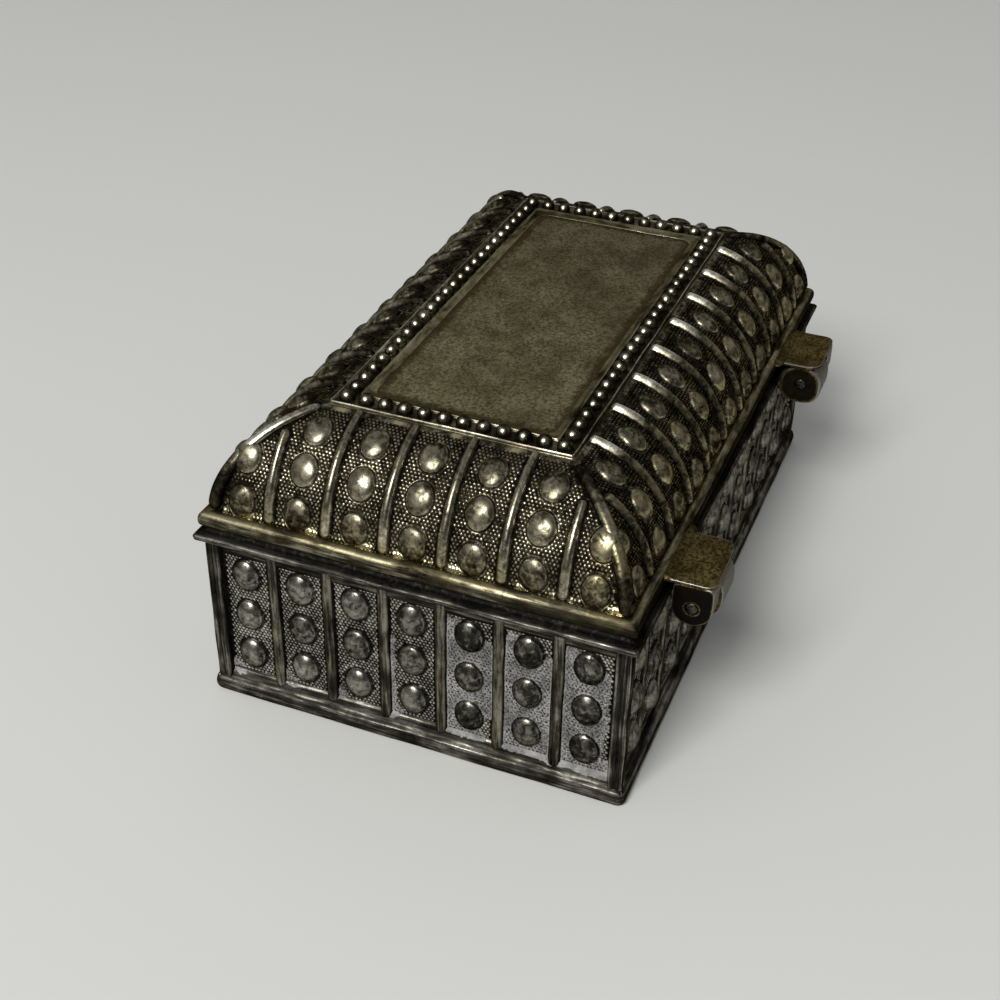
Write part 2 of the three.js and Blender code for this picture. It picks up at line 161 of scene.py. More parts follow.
def woven(rows, columns, loop_rows=False, loop_columns=False):
    """The quads between rows and columns of points. A loop joins the last to the first."""
    index = np.arange(rows * columns).reshape(rows, columns)
    if loop_rows:
        index = np.concatenate([index, index[:1]])
    if loop_columns:
        index = np.concatenate([index, index[:, :1]], 1)
    quads = np.stack([index[:-1, :-1], index[1:, :-1], index[1:, 1:], index[:-1, 1:]], -1)
    return quads.reshape(-1, 4)


def tube(rings, around):
    """The faces of a closed tube: the quads between its rings of points, and a cap over each end."""
    end = np.arange(around)[None]
    return [woven(rings, around, loop_columns=True)[:, ::-1], end[:, ::-1], end + (rings - 1) * around]


def slab(rows, columns):
    """The faces of a slab: two grids of points, one after the other, and the wall that joins their edges."""
    skin, count = woven(rows, columns), rows * columns
    index = np.arange(count).reshape(rows, columns)
    rim = np.concatenate([index[0, :-1], index[:-1, -1], index[-1, :0:-1], index[:0:-1, 0]])
    after = np.roll(rim, -1)
    return [skin, skin[:, ::-1] + count, np.stack([rim, rim + count, after + count, after], -1)]


def flipped(faces):
    return [face[:, ::-1] for face in faces]


MAP_EDGE = 0.01


def make_piece(name, form, body, slot, stands_for, cast=True, flat=None, crease=None):
    """The form as a Blender object that moves with its body and stands for those nodes. flat gives each
    point's place on a map of the surface, and crease the angle in degrees past which an edge stays sharp."""
    points = np.concatenate(form.points)
    if cast:
        points = uneven(points)
    mesh = bpy.data.meshes.new(name)
    corners = np.concatenate([face.ravel() for face in form.faces])
    sizes = np.concatenate([np.full(len(face), face.shape[1]) for face in form.faces])
    mesh.vertices.add(len(points))
    mesh.vertices.foreach_set("co", (points * MM).astype(np.float32).ravel())
    mesh.loops.add(len(corners))
    mesh.loops.foreach_set("vertex_index", corners.astype(np.int32))
    mesh.polygons.add(len(sizes))
    mesh.polygons.foreach_set("loop_start", (np.cumsum(sizes) - sizes).astype(np.int32))
    mesh.update(calc_edges=True)
    mesh.shade_smooth()
    if crease:
        mesh.set_sharp_from_angle(angle=math.radians(crease))
    paint = {channel: np.concatenate(values) for channel, values in form.paint.items()}
    paint["warmth"] = warmth(points)
    for channel, values in paint.items():
        layer = mesh.attributes.new(channel, "FLOAT", "POINT")
        layer.data.foreach_set("value", np.clip(values, 0, 1).astype(np.float32))
    if flat is not None:
        flat = flat.reshape(-1, 2)
        flat = (flat - flat.min(0)) / np.ptp(flat, axis=0).max() * (1 - 2 * MAP_EDGE) + MAP_EDGE
        mesh.uv_layers.new(name="OFBake").uv.foreach_set("vector", flat[corners].astype(np.float32).ravel())
    piece = bpy.data.objects.new(name, mesh)
    bpy.context.scene.collection.objects.link(piece)
    mesh.materials.append(LOOKS[slot])
    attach(piece, body)
    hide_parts(*stands_for)
    return piece


def reach(side, s):
    """Half the length of a side at the level s."""
    return s + LONGER - side["out"]


def placed(side, along, s, z):
    """World points from a side's own places: along it, out to the level s, and up."""
    c, d = side["turn"]
    out = s + side["out"]
    return np.stack([along * c - out * d, along * d + out * c, z + np.zeros_like(out)], -1)


POINTS_UP = 4  # rows of points to a row of granules


def ornament_grid(side, furthest, low, high, across=4):
    """Places along a side and up it, so close that across of them lie in the width of each lattice step."""
    pitch = side["pitch"] / side["granules"]
    steps = math.ceil(furthest * across / pitch)
    along = np.arange(-steps, steps + 1) * (pitch / across)
    return np.meshgrid(along, np.arange(low, high, pitch * ROOT3 / 2 / POINTS_UP))


def cut_at_corners(side, u, s, z):
    """A side's grid of places as points and quads, cut off where the next sides begin."""
    limit = reach(side, s)
    quads = woven(*u.shape)
    outside = (np.abs(u) >= limit).ravel()
    return placed(side, np.clip(u, -limit, limit), s, z), quads[~outside[quads].all(1)]


def softened(outline, steps=4):
    """An outline's points (s, z, corner radius, crest). The corners also have a rounding, after s and z."""
    made = []
    for before, here, after in zip(outline[-1:] + outline[:-1], outline, outline[1:] + outline[:1]):
        point = np.array(here[:2], float)
        back, on = np.array(before[:2]) - point, np.array(after[:2]) - point
        cut = min(here[2], 0.45 * np.linalg.norm(back), 0.45 * np.linalg.norm(on))
        if cut <= 0:
            made.append([*point, *here[3:]])
            continue
        start = point + back / np.linalg.norm(back) * cut
        end = point + on / np.linalg.norm(on) * cut
        for t in np.linspace(0, 1, steps + 1):
            place = (1 - t) ** 2 * start + 2 * t * (1 - t) * point + t * t * end
            made.append([*place, *here[3:]])
    return np.array(made)


TURN_STEPS = 6
STATION_GAP = 2.2
SHORT_RUN = 60.0
RUNS = [int((SHORT_RUN + 2 * LONGER) / STATION_GAP), int(SHORT_RUN / STATION_GAP)]


def stations(profile):
    """Rings of points round the box through a profile of (s, z, corner radius) points, and how many each
    side has. The middle ring of each corner lies on its mitre, and starts the next side."""
    s, z, corner = profile.T

    def on_corner(turn, step):
        sx, sy = (1 if turn % 4 in (0, 3) else -1), (1 if turn % 4 < 2 else -1)
        a = (turn + step / TURN_STEPS) * math.pi / 2
        x = sx * (s + LONGER - corner) + corner * math.cos(a)
        return np.stack([x, sy * (s - corner) + corner * math.sin(a), z], -1)

    rings = []
    for turn in range(4):
        rings += [on_corner(turn, step) for step in range(TURN_STEPS + 1)]
        last, after, count = rings[-1], on_corner(turn + 1, 0), RUNS[turn % 2]
        rings += [last + (after - last) * i / count for i in range(1, count)]
    half = TURN_STEPS // 2
    return np.array(rings[half:] + rings[:half]), [RUNS[turn % 2] + TURN_STEPS for turn in range(4)]


# Ornament

def chance(a, b, seed=0.0):
    """An even random number from 0 to 1 for each pair of whole numbers."""
    return np.abs(np.sin(a * 12.9898 + b * 78.233 + seed) * 43758.5453) % 1


def from_bosses(along, up, bosses, size):
    """How far each place is from the nearest boss, as a share of the boss: 1 on its edge. A boss is given as
    (along, up, its size beside the others)."""
    share = np.full(np.shape(along), 9.0)
    for a, b, grown in bosses:
        away = np.hypot((along - a) * 2 / size["across"], (up - b) * 2 / size["tall"])
        share = np.minimum(share, away / grown)
    return share


def from_ribs(along, up, ribs):
    """How far each place is from the middle line of the nearest rib, given as (along, low end, high end)."""
    gap = np.full(np.shape(along), 99.0)
    for a, low, high in ribs:
        gap = np.minimum(gap, np.hypot(along - a, np.maximum(np.maximum(low - up, up - high), 0)))
    return gap


def granules(along, up, pitch, foot, kind, clear):
    """How far the granules stand at each place, and how worn. clear says which lattice places hold one."""
    row_gap = pitch * ROOT3 / 2
    low_row = np.floor((up - foot) / row_gap)
    best, shine = np.zeros_like(along), np.zeros_like(along)
    vary = kind["vary"]
    for row in (low_row, low_row + 1):
        shift = (row % 2) * pitch / 2
        number = np.round((along - shift) / pitch)
        a = number * pitch + shift
        b = foot + row * row_gap
        radius = kind["radius"] * (1 - 0.5 * vary + vary * chance(row, number))
        a_off = 0.4 * vary * (chance(row, number, 1.7) - 0.5)
        b_off = 0.4 * vary * (chance(row, number, 4.1) - 0.5)
        far = np.hypot(along - a - a_off, up - b - b_off) / radius
        ball = np.sqrt(np.clip(1 - far * far, 0, None)) * clear(a, b)
        nearer = ball > best
        best = np.where(nearer, ball, best)
        shine = np.where(nearer, 1 - kind["spread"] * chance(row, number, 8.3), shine)
    return best, shine


def relief(side, along, up, foot, kind, bosses, size, ribs, rib, free, waver, dull):
    """Height and crest of cast ornament over its ground, and which places are ground. free gives each
    place's distance to the field's edge, and dull how much darker its bosses are painted, which on the
    base's near wall is painted shade."""
    share = from_bosses(along, up, bosses, size)
    beside = from_ribs(along, up, ribs)
    half = rib["half"] * (1 + rib["taper"] * (0.35 - up / np.max(up)))

    def clear(a, b):
        off_boss = (from_bosses(a, b, bosses, size) - 1) * size["across"] / 2
        off_rib = from_ribs(a, b, ribs) - rib["half"]
        return (off_boss > APART) & (off_rib > APART) & (free(a, b) > APART)

    grain, shine = granules(along, up, side["pitch"] / side["granules"], foot, kind, clear)
    height = kind["rise"] * grain
    crest = kind["shine"] * shine * grain ** kind["tip"]

    # A thin collar round each boss
    outside = (share - 1) * size["across"] / 2
    collar = near(outside, COLLAR["out"], COLLAR["half"]) * (outside > 0)
    height = np.maximum(height, COLLAR["rise"] * collar)
    crest = np.maximum(crest, COLLAR["crest"] * collar)

    # Bosses, slightly lumpy, with a fine bright line near their rim
    on_boss = share < 1
    flatness, power = size["dome"]
    dome = (1 - np.minimum(share, 1) ** flatness) ** power
    lumps = 0.015 * np.sin(along * 3.1 + up * 1.7 + waver) + 0.01 * np.sin(up * 4.3 - along * 2.2 + waver)
    boss_height = size["brim"] + (size["rise"] - size["brim"]) * dome + lumps * dome
    height = np.where(on_boss, boss_height, height)
    boss_crest = (0.37 + 0.17 * smooth(0.0, 0.75, dome)) * (1 - dull) + 0.3 * near(share, 0.91, 0.035)
    crest = np.where(on_boss, boss_crest, crest)

    # Ribs
    across = np.clip(beside / half, 0, 1)
    on_rib = beside < half
    rib_height = rib["rise"] * (1 - across ** rib["flat"]) ** rib["power"]
    height = np.where(on_rib, np.maximum(height, rib_height), height)
    shoulder = near(across, 0.72, 0.16) * (rib["ridge"] > 2)
    rib_crest = (0.12 + 0.48 * (1 - across ** rib["ridge"]) + 0.3 * shoulder) * rib["wear"]
    crest = np.where(on_rib, rib_crest, crest)

    round_boss = (share >= 1) & (outside < GROOVE["round_boss"])
    groove = round_boss | (beside >= half) & (beside < half + GROOVE["beside_rib"])
    height = np.where(groove, -GROOVE["deep"], height)
    crest = np.where(groove, 0.0, crest)
    return height, crest, ~on_boss & ~on_rib


def column_places(side, gaps=False):
    """Where a side's columns of bosses stand, or the gaps between them."""
    count = side["columns"] - gaps
    return [(i - (count - 1) / 2) * side["pitch"] for i in range(count)]


# Paint that follows the places on the box

def warmth(points):
    """How far the plating is worn to brass: low on the lid's near end and its +Y side, on ribs of the near
    wall, on the moulding round the panel and in spots of the plain band."""
    x, y, z = np.moveaxis(points, -1, 0)
    patchy = 0.45 + 0.4 * patches(points, 6.0, 3)
    low_end = smooth(44.0, 47.0, x) * (1 - smooth(33.0, 37.5, z)) * smooth(31.6, 32.6, z)
    low_end = low_end * (1 - smooth(6, 24, y))
    side = smooth(24, 26, y) * smooth(LID_FOOT - 0.2, LID_FOOT + 0.2, z) * (1 - smooth(44, 46, z))
    worn = np.maximum(0.75 * low_end * patchy, 0.55 * side * (0.6 + 0.4 * patches(points, 4.0, 8)))
    beside = from_ribs(y, z, [(rib, PANEL_FOOT, PANEL_HEAD) for rib in column_places(END, True)])
    on_rib = (x > 51.2) * (beside < BASE_RIB["half"]) * (0.2 + 0.25 * patches(points, 5.0, 9))
    moulding = 0.35 * (z > 46.15) * (np.abs(y) < 14.97) * (np.abs(x) < 14.97 + LONGER)
    return np.maximum(np.maximum(worn, on_rib), np.maximum(moulding, brass_and_highlight_spots(points)))


def brass_and_highlight_spots(points):
    """Spots on the near end of the plain band, a little to one side of each rib: worn through to brass, and
    also painted highlights.
    """
    x, y, z = np.moveaxis(points, -1, 0)
    on_band = smooth(38.3, 38.5, x) * (1 - smooth(39.3, 39.6, x)) * smooth(44.9, 45.1, z)
    spot = np.zeros_like(y)
    for rib in column_places(END, True):
        spot = np.maximum(spot, near(y, rib - 2.8, 0.75))
    return on_band * spot * (y < 13) * (y > -18)


def painted_boss_shade(points):
    """Where the near wall's bosses are painted darker, over its right-hand part: painted shade, a dark
    reflection.
    """
    x, y, _ = np.moveaxis(points, -1, 0)
    return (x > NEAR_WALL) * smooth(3.0, 7.0, y)


def chalk(points):
    """Pale residue on the near wall: caked over its right-hand panels, elsewhere only low by the ribs."""
    x, y, z = np.moveaxis(points, -1, 0)
    slow, quick = patches(points, 5.0, 5), patches(points, 1.7, 6)
    ragged = 0.8 * slow + 0.5 * quick
    column = (y / END["pitch"] + 0.5) % 1 - 0.5
    caked = smooth(4.6, 5.4, y + 0.3 * quick) * (1 - smooth(21.5, 25.5, z + ragged + 5.0 * column))
    caked = caked * (1 - 0.35 * smooth(0.2, 0.9, slow))
    clean_side = smooth(28.6, 29.6, y + 0.6 * ragged) * smooth(6.0, 8.0, z + 2 * ragged)
    low_left = smooth(9.8, 10.8, y + 0.6 * quick) * (1 - smooth(13.0, 13.4, y))
    clean_corner = low_left * (1 - smooth(7.4, 9.4, z - ragged))
    caked = caked * (1 - clean_side) * (1 - clean_corner)
    past_rib = column + 0.5
    drift = smooth(0.03, 0.07, past_rib) * (1 - smooth(0.24, 0.36, past_rib + 0.04 * quick))
    low = 1 - smooth(5.0, 7.2, z + 9 * (past_rib - 0.12) + 0.6 * ragged)
    fourth = smooth(-4.4, -4.2, y) * (1 - smooth(-3.2, -2.6, y + 0.4 * ragged))
    fourth = fourth * (1 - smooth(14.0, 19.0, z + 3 * ragged))
    return (x > NEAR_WALL) * np.maximum(np.maximum(caked, drift * low), fourth)


# Materials

def connect(tree, source, socket):
    """Links a node's output to the socket, or gives the socket that number or colour."""
    if isinstance(source, Value):
        tree.links.new(source.socket, socket)
    else:
        socket.default_value = source


class Value:
    """A node's output. A sum or product with a number or another output is a new node."""

    def __init__(self, tree, socket):
        self.tree, self.socket = tree, socket

    def joined(self, how, other, swapped=False, clamp=False):
        node = self.tree.nodes.new("ShaderNodeMath")
        node.operation = how
        node.use_clamp = clamp
        for source, socket in zip((other, self) if swapped else (self, other), node.inputs):
            connect(self.tree, source, socket)
        return Value(self.tree, node.outputs[0])

    def __add__(self, other):
        return self.joined("ADD", other)

    def __sub__(self, other):
        return self.joined("SUBTRACT", other)

    def __rsub__(self, other):
        return self.joined("SUBTRACT", other, swapped=True)

    def __mul__(self, other):
        return self.joined("MULTIPLY", other)


class Nodes:
    """A tree of nodes, made by short calls that return their outputs."""

    def __init__(self, tree):
        self.tree = tree

    def node(self, kind, output, inputs, **settings):
        node = self.tree.nodes.new("ShaderNode" + kind)
        for name, value in settings.items():
            setattr(node, name, value)
        for key, source in inputs.items():
            connect(self.tree, source, node.inputs[key])
        return Value(self.tree, node.outputs[output])

    def between(self, value, low, high, start=0.0, end=1.0, how="SMOOTHSTEP"):
        """start where value is below low, end where it is above high, and a slope between."""
        inputs = dict(enumerate((value, low, high, start, end)))
        return self.node("MapRange", 0, inputs, interpolation_type=how)

    def blend(self, share, a, b):
        """The number a where share is 0, and b where it is 1."""
        return self.node("Mix", 0, {0: share, 2: a, 3: b})

    def mix(self, share, a, b):
        """The colour a where share is 0, and b where it is 1."""
        a, b = (colour if isinstance(colour, Value) else (*colour, 1) for colour in (a, b))
        return self.node("Mix", 2, {0: share, 6: a, 7: b}, data_type="RGBA")


class Look(Nodes):
    """The nodes of a new material."""

    def __init__(self, name):
        self.material = bpy.data.materials.new(name)
        self.material.use_nodes = True
        super().__init__(self.material.node_tree)
        self.shader = self.tree.nodes["Principled BSDF"]
        self.place = self.node("TexCoord", "Object", {})

    def paint(self, channel):
        return self.node("Attribute", "Fac", {}, attribute_name=channel)

    def scaled(self, scale, turn=(0, 0, 0)):
        return self.node("Mapping", "Vector", {"Vector": self.place, "Scale": scale, "Rotation": turn})

    def noise(self, size, detail=3.0, roughness=0.55, warp=0.0):
        """Noise whose lumps are about size millimetres."""
        return self.noise_over(self.place, METRE / size, detail, roughness, warp)

    def noise_over(self, vector, scale, detail, roughness, warp):
        inputs = {"Vector": vector, "Scale": scale, "Detail": detail, "Roughness": roughness}
        return self.node("TexNoise", "Fac", {**inputs, "Distortion": warp})

    def bump(self, height, deep):
        """A bump of that many millimetres for each unit of height."""
        normal = self.node("Bump", "Normal", {"Strength": 1.0, "Distance": deep * MM, "Height": height})
        connect(self.tree, normal, self.shader.inputs["Normal"])

    def finished(self, **sockets):
        """The material, once its shader has those inputs."""
        for name, source in sockets.items():
            source = (*source, 1) if isinstance(source, tuple) else source
            connect(self.tree, source, self.shader.inputs[name.replace("_", " ")])
        return self.material


DULL_EDGE = (0.36, 0.34, 0.30)
# How wide and how tall a streak is, by the paint that calls for it
STREAKS = {"drawn": (7.0, 0.45), "upright": (0.5, 8.0)}
# The direction and length of the panel's scratches
SCRATCHES = ((0.5, 6.0), (-0.35, 8.0), (1.2, 5.0), (2.2, 7.0))
SCRATCH_WIDTH = 0.16


def cast_metal(name, pit, ground, body, bright, brass, shine, stained):
    """Tarnished cast metal: near black in its pits, and bright where the crest paint is high, which is wear
    and in places a painted highlight.
    """
    n = Look(name)
    crest, warm, pale = n.paint("crest"), n.paint("warmth"), n.paint("chalk")
    broad, mottle, grain = n.noise(5.0), n.noise(0.9, 4.0, 0.6, 0.6), n.noise(0.22, 2.0)
    for channel, (wide, tall) in STREAKS.items():
        vector = n.scaled((METRE / wide, METRE / wide, METRE / tall))
        mottle = n.blend(n.paint(channel), mottle, n.noise_over(vector, 1.0, 4.0, 0.65, 0.4))
    cloudy = (mottle - 0.5) * 1.3 + (broad - 0.5) * 0.8
    worn = crest + cloudy * n.between(crest, 0.0, 0.35, 0.2, 1.0)
    colour = n.mix(n.between(worn, 0.04, 0.34), pit, ground)
    colour = n.mix(n.between(worn, 0.28, 0.66), colour, body)
    colour = n.mix(n.between(worn, 0.62, 1.1), colour, bright)
    spots = n.between(n.noise(1.3, 4.0, 0.65, 1.2), 0.50, 0.62) * n.between(crest, 0.75, 1.0, stained, 0.0)
    colour = n.mix(spots, colour, ground)
    colour = n.mix(warm * n.between(worn, 0.15, 0.7) * 0.8, colour, brass)
    # Pale dust, thin over what is worn, with dark specks in it
    dusty = pale + (n.noise(0.5, 4.0, 0.7) - 0.5) * 1.1 - n.between(crest, 0.3, 0.9, 0.0, 0.32)
    dusty = n.between(dusty, 0.3, 0.5)
    speck = n.noise(0.28, 3.0, 0.7) - crest * 0.24 + n.paint("drawn") * 0.1
    caked = n.mix(n.between(n.noise(2.5, 3.0), 0.35, 0.65), (0.17, 0.166, 0.158), (0.34, 0.334, 0.32))
    dust = n.mix(n.between(speck, 0.28, 0.48), (0.030, 0.029, 0.027), caked)
    colour = n.mix(dusty, colour, dust)
    rough = n.between(worn, 0.1, 0.75, 0.55, shine) + (mottle - 0.5) * 0.15
    rough = rough.joined("MAXIMUM", dusty * 0.85, clamp=True)
    fine = (grain * 0.35 + mottle * 0.6 - spots * 0.25) * n.between(crest, 0.2, 0.5, 1.0, 0.5)
    n.bump(fine + dusty * 0.6, 0.03)
    return n.finished(Base_Color=colour, Metallic=1 - dusty, Roughness=rough, Specular_Tint=DULL_EDGE)


def panel_metal():
    """The flat top panel: olive brown tarnish, cloudy and finely scratched. It is painted lighter and
    yellower towards its near end and greyer towards its far end: a painted reflection.
    """
    n = Look("tarnished_panel")
    cloud, mottle, broad = n.noise(6.0, 8.0, 0.76), n.noise(1.5, 6.0, 0.78, 0.4), n.noise(24.0, 3.0)
    grain = n.noise(0.45, 4.0, 0.75)
    along = n.node("SeparateXYZ", "X", {0: n.place})
    # Lighter and yellower towards the near end, greyer towards the far end: a painted reflection.
    nearer = n.between(along + broad * 0.05, -0.005, 0.055)
    light = n.mix(nearer, (0.275, 0.248, 0.152), (0.380, 0.338, 0.188))
    dark = n.mix(nearer, (0.128, 0.112, 0.068), (0.172, 0.145, 0.074))
    colour = n.mix(n.between(cloud, 0.36, 0.62), dark, light)
    colour = n.mix(n.between(mottle, 0.48, 0.64, 0.0, 0.6), colour, (0.075, 0.060, 0.030))
    colour = n.mix(n.between(grain, 0.46, 0.58, 0.0, 0.7), colour, (0.05, 0.038, 0.018))
    edge = 1 - n.paint("crest") + n.noise(1.2, 5.0, 0.75) * 2.2
    colour = n.mix(n.between(edge, 1.35, 2.0, 0.0, 0.85), colour, (0.058, 0.038, 0.017))
    stain = n.between(n.noise(0.6, 4.0, 0.7), 0.6, 0.7, 0.0, 0.6)
    colour = n.mix(stain, colour, (0.035, 0.026, 0.014))
    scratch = 0.0
    for turn, size in SCRATCHES:
        vector = n.scaled((METRE / size, METRE / SCRATCH_WIDTH, METRE), (0, 0, turn))
        line = n.between(n.noise_over(vector, 1.0, 2.0, 0.5, 0.0), 0.63, 0.70)
        scratch = line.joined("MAXIMUM", scratch)
    scratch = scratch * n.between(n.noise(6.0), 0.45, 0.62)
    scratched = n.mix(mottle, (0.02, 0.016, 0.01), (0.34, 0.31, 0.24))
    colour = n.mix(scratch * 0.55, colour, scratched)
    rough = n.between(cloud, 0.3, 0.7, 0.52, 0.42) + stain * 0.2
    n.bump(mottle * 0.5 - scratch * 0.5, 0.015)
    return n.finished(Base_Color=colour, Metallic=0.9, Roughness=rough, Specular_Tint=DULL_EDGE)


def hinge_metal():
    """The hinge leaves: brown, porous brass, black on its cut faces and grey where it has been rubbed."""
    n = Look("hinge_brass")
    crest, cloud, grain = n.paint("crest"), n.noise(3.0, 4.0), n.noise(0.5, 4.0, 0.7)
    colour = n.mix(n.between(cloud, 0.3, 0.7), (0.085, 0.060, 0.020), (0.20, 0.152, 0.055))
    colour = n.mix(n.between(grain, 0.42, 0.55, 0.85, 0.0), colour, (0.022, 0.014, 0.005))
    rubbed_and_highlit = n.between(crest, 0.64, 0.76)
    colour = n.mix(rubbed_and_highlit, colour, (0.27, 0.264, 0.25))
    colour = n.mix(n.between(crest, 0.86, 0.98), colour, (0.60, 0.58, 0.52))
    colour = n.mix(n.between(crest, 0.08, 0.4, 1.0, 0.0), colour, (0.007, 0.006, 0.005))
    rough = n.between(grain, 0.3, 0.7, 0.62, 0.45) - rubbed_and_highlit * 0.18
    pores = n.node("TexVoronoi", "Distance", {"Vector": n.place, "Scale": METRE / 0.6})
    n.bump(grain + n.between(pores, 0.0, 0.25, 0.0, 0.5), 0.06)
    return n.finished(Base_Color=colour, Metallic=0.9, Roughness=rough, Specular_Tint=DULL_EDGE)


def plain_metal(name, cloud, grain, dark, light, deep, metallic, rough):
    """Cloudy grey metal. cloud and grain give the size and detail of two noises."""
    n = Look(name)
    cloud, grain = n.noise(*cloud), n.noise(*grain)
    colour = n.mix(n.between(cloud, 0.35, 0.65), dark, light)
    n.bump(grain, deep)
    return n.finished(Base_Color=colour, Metallic=metallic, Roughness=n.between(grain, 0.3, 0.7, *rough))


def velvet_cloth():
    """Deep red velvet: a soft pile with crushed, lighter patches."""
    n = Look("velvet")
    crush, pile = n.noise(11.0, 4.0, 0.6, 0.2), n.noise(0.25, 3.0, 0.7)
    colour = n.mix(n.between(crush, 0.3, 0.75), (0.105, 0.008, 0.017), (0.17, 0.015, 0.028))
    colour = n.mix(n.between(pile, 0.35, 0.7, 0.0, 0.5), colour, (0.045, 0.003, 0.008))
    n.bump(pile + crush * 2.0, 0.12)
    return n.finished(
        Base_Color=colour, Metallic=0.0, Roughness=0.95, Sheen_Weight=0.6, Sheen_Roughness=0.35,
        Sheen_Tint=(0.9, 0.35, 0.4),
    )


def felt_cloth():
    """Dark green felt, matted in places."""
    n = Look("felt")
    matted, fibre = n.noise(1.5, 5.0, 0.7, 2.0), n.noise(0.2, 3.0, 0.7, 1.0)
    colour = n.mix(n.between(matted, 0.35, 0.65), (0.016, 0.03, 0.02), (0.04, 0.06, 0.042))
    n.bump(fibre + matted, 0.12)
    return n.finished(Base_Color=colour, Metallic=0.0, Roughness=1.0, Sheen_Weight=0.3)


LOOKS = {
    "lid_metal": cast_metal(
        "lid_cast", (0.006, 0.005, 0.004), (0.042, 0.036, 0.022), (0.29, 0.262, 0.18), (0.80, 0.76, 0.64),
        (0.46, 0.38, 0.16), 0.24, 0.6,
    ),
    "base_metal": cast_metal(
        "base_cast", (0.006, 0.0055, 0.005), (0.034, 0.031, 0.025), (0.25, 0.238, 0.2), (0.66, 0.64, 0.58),
        (0.40, 0.33, 0.17), 0.22, 0.5,
    ),
    "panel_metal": panel_metal(),
    "hinge_metal": hinge_metal(),
    "pin_metal": plain_metal(
        "pin_steel", (0.4, 4.0), (0.4, 4.0), (0.02, 0.018, 0.015), (0.08, 0.076, 0.066), 0.02, 1.0,
        (0.3, 0.5),
    ),
    "plate_metal": plain_metal(
        "bottom_steel", (6.0, 4.0), (0.5, 3.0), (0.05, 0.048, 0.042), (0.14, 0.135, 0.12), 0.03, 0.9,
        (0.45, 0.65),
    ),
    "velvet": velvet_cloth(),
    "felt": felt_cloth(),
}


# Base

def cove_under_rim():
    """The hollow under the base rim, as corners of the outline from the panel's head out to the edge."""
    turns = np.radians(np.linspace(4, 84, 8))
    hollow = [(33.45 - 2.25 * math.cos(a), 25.2 + 3.05 * math.sin(a)) for a in turns]
    return [(s, z, 0, 0.45, crest) for (s, z), crest in zip(hollow, np.linspace(0.34, 0.46, len(hollow)))]


WALL_OUTLINE = softened([
    (31.7, 0.0, 0.15, 1.0, 0.2),
    (32.5, 0.1, 0.3, 1.0, 0.35),
    (32.75, 0.8, 0.5, 1.0, 0.36),
    (32.7, 1.6, 0.4, 1.0, 0.36),
    (32.5, 2.3, 0.2, 1.0, 0.42),
    (31.85, 2.65, 0.25, 0.8, 0.34),
    (31.45, 3.4, 0.2, 0.5, 0.28),
    (31.3, 3.9, 0.12, 0.3, 0.4),
    (30.95, 4.2, 0.1, 0.3, 0.25),
    (30.7, 4.6, 0, 0.2, 0.1),
    (30.7, 25.2, 0, 0.2, 0.0),
    (31.0, 25.3, 0.05, 0.3, 0.1),
    *cove_under_rim(),
    (33.28, 28.45, 0.15, 0.5, 0.42),
    (33.33, 28.82, 0.1, 0.5, 0.42),
    (33.19, 28.99, 0.1, 0.5, 0.42),
    (32.7, 29.25, 0.2, 0.5, 0.15),
    (32.1, 29.5, 0.2, 0.5, 0.05),
    (31.55, 30.1, 0.2, 0.5, 0.05),
    (29.0, 30.15, 0.15, 0.5, 0.5),
    (29.0, 2.2, 0, 0.3, 0.3),
    (30.3, 2.2, 0, 0.3, 0.2),
    (30.3, 0.02, 0.1, 0.3, 0.2),
])
COVE_MEETS_POST = 27.6


def wall_relief(side, form):
    """The ornamented face of one wall: bosses between ribs on granulated ground, with a post at each end."""
    corner, post_width = reach(side, POST["s"]), POST["width"]
    u, z = ornament_grid(side, corner, RELIEF_FOOT, COVE_MEETS_POST, 4 if side["out"] else 3.5)
    to_corner = corner - np.abs(u)
    bosses = [(a, b, 1.0) for a in column_places(side) for b in BASE_ROWS]
    ribs = [(a, RELIEF_FOOT + 0.9, PANEL_HEAD + 1.6) for a in column_places(side, True)]

    def free(a, b):
        beside = corner - post_width - np.abs(a)
        return np.minimum(beside, np.minimum(b - PANEL_FOOT + 0.1, PANEL_HEAD + 0.4 - b))

    # On the near wall the bosses of the right-hand part are painted darker: painted shade.
    dull = 0.3 * painted_boss_shade(placed(side, u, GROUND + 0 * u, z))
    height, crest, ground = relief(
        side, u, z, PANEL_FOOT + 0.3, BASE_GRANULE, bosses, BOSS, ribs, BASE_RIB, free, side["out"], dull
    )
    height = np.where(ground & (z < PANEL_FOOT), -0.25, height)

    # Each post has a rounded corner, and a groove beside its middle
    on_post = to_corner < post_width
    curve = np.clip(POST["round"] - to_corner, 0, None)
    rounded = POST["round"] - np.sqrt(np.clip(POST["round"] ** 2 - curve ** 2, 0, None))
    groove = near(to_corner, POST["groove"], 0.14)
    edge = 0.3 + 0.7 * smooth(0.0, 0.35, post_width - to_corner)
    height = np.where(on_post, (POST["s"] - GROUND) * edge - rounded * 0.8 - 0.12 * groove, height)
    inner_edge = near(to_corner, post_width - 0.45, 0.15)
    stripes = 0.3 + 0.05 * np.sin(to_corner * 11) + 0.12 * inner_edge + 0.15 * (to_corner < 0.35)
    crest = np.where(on_post, stripes * (1 - 0.5 * groove) * edge, crest)

    points, quads = cut_at_corners(side, u, GROUND + height, z)
    residue = chalk(points) * (ground & ~on_post)
    on_rib = from_ribs(u, z, ribs) < BASE_RIB["half"]
    upright = np.maximum(on_rib | on_post, 0.6 * (side["out"] == 0))
    form.add(points, [quads], crest, residue, upright=upright)


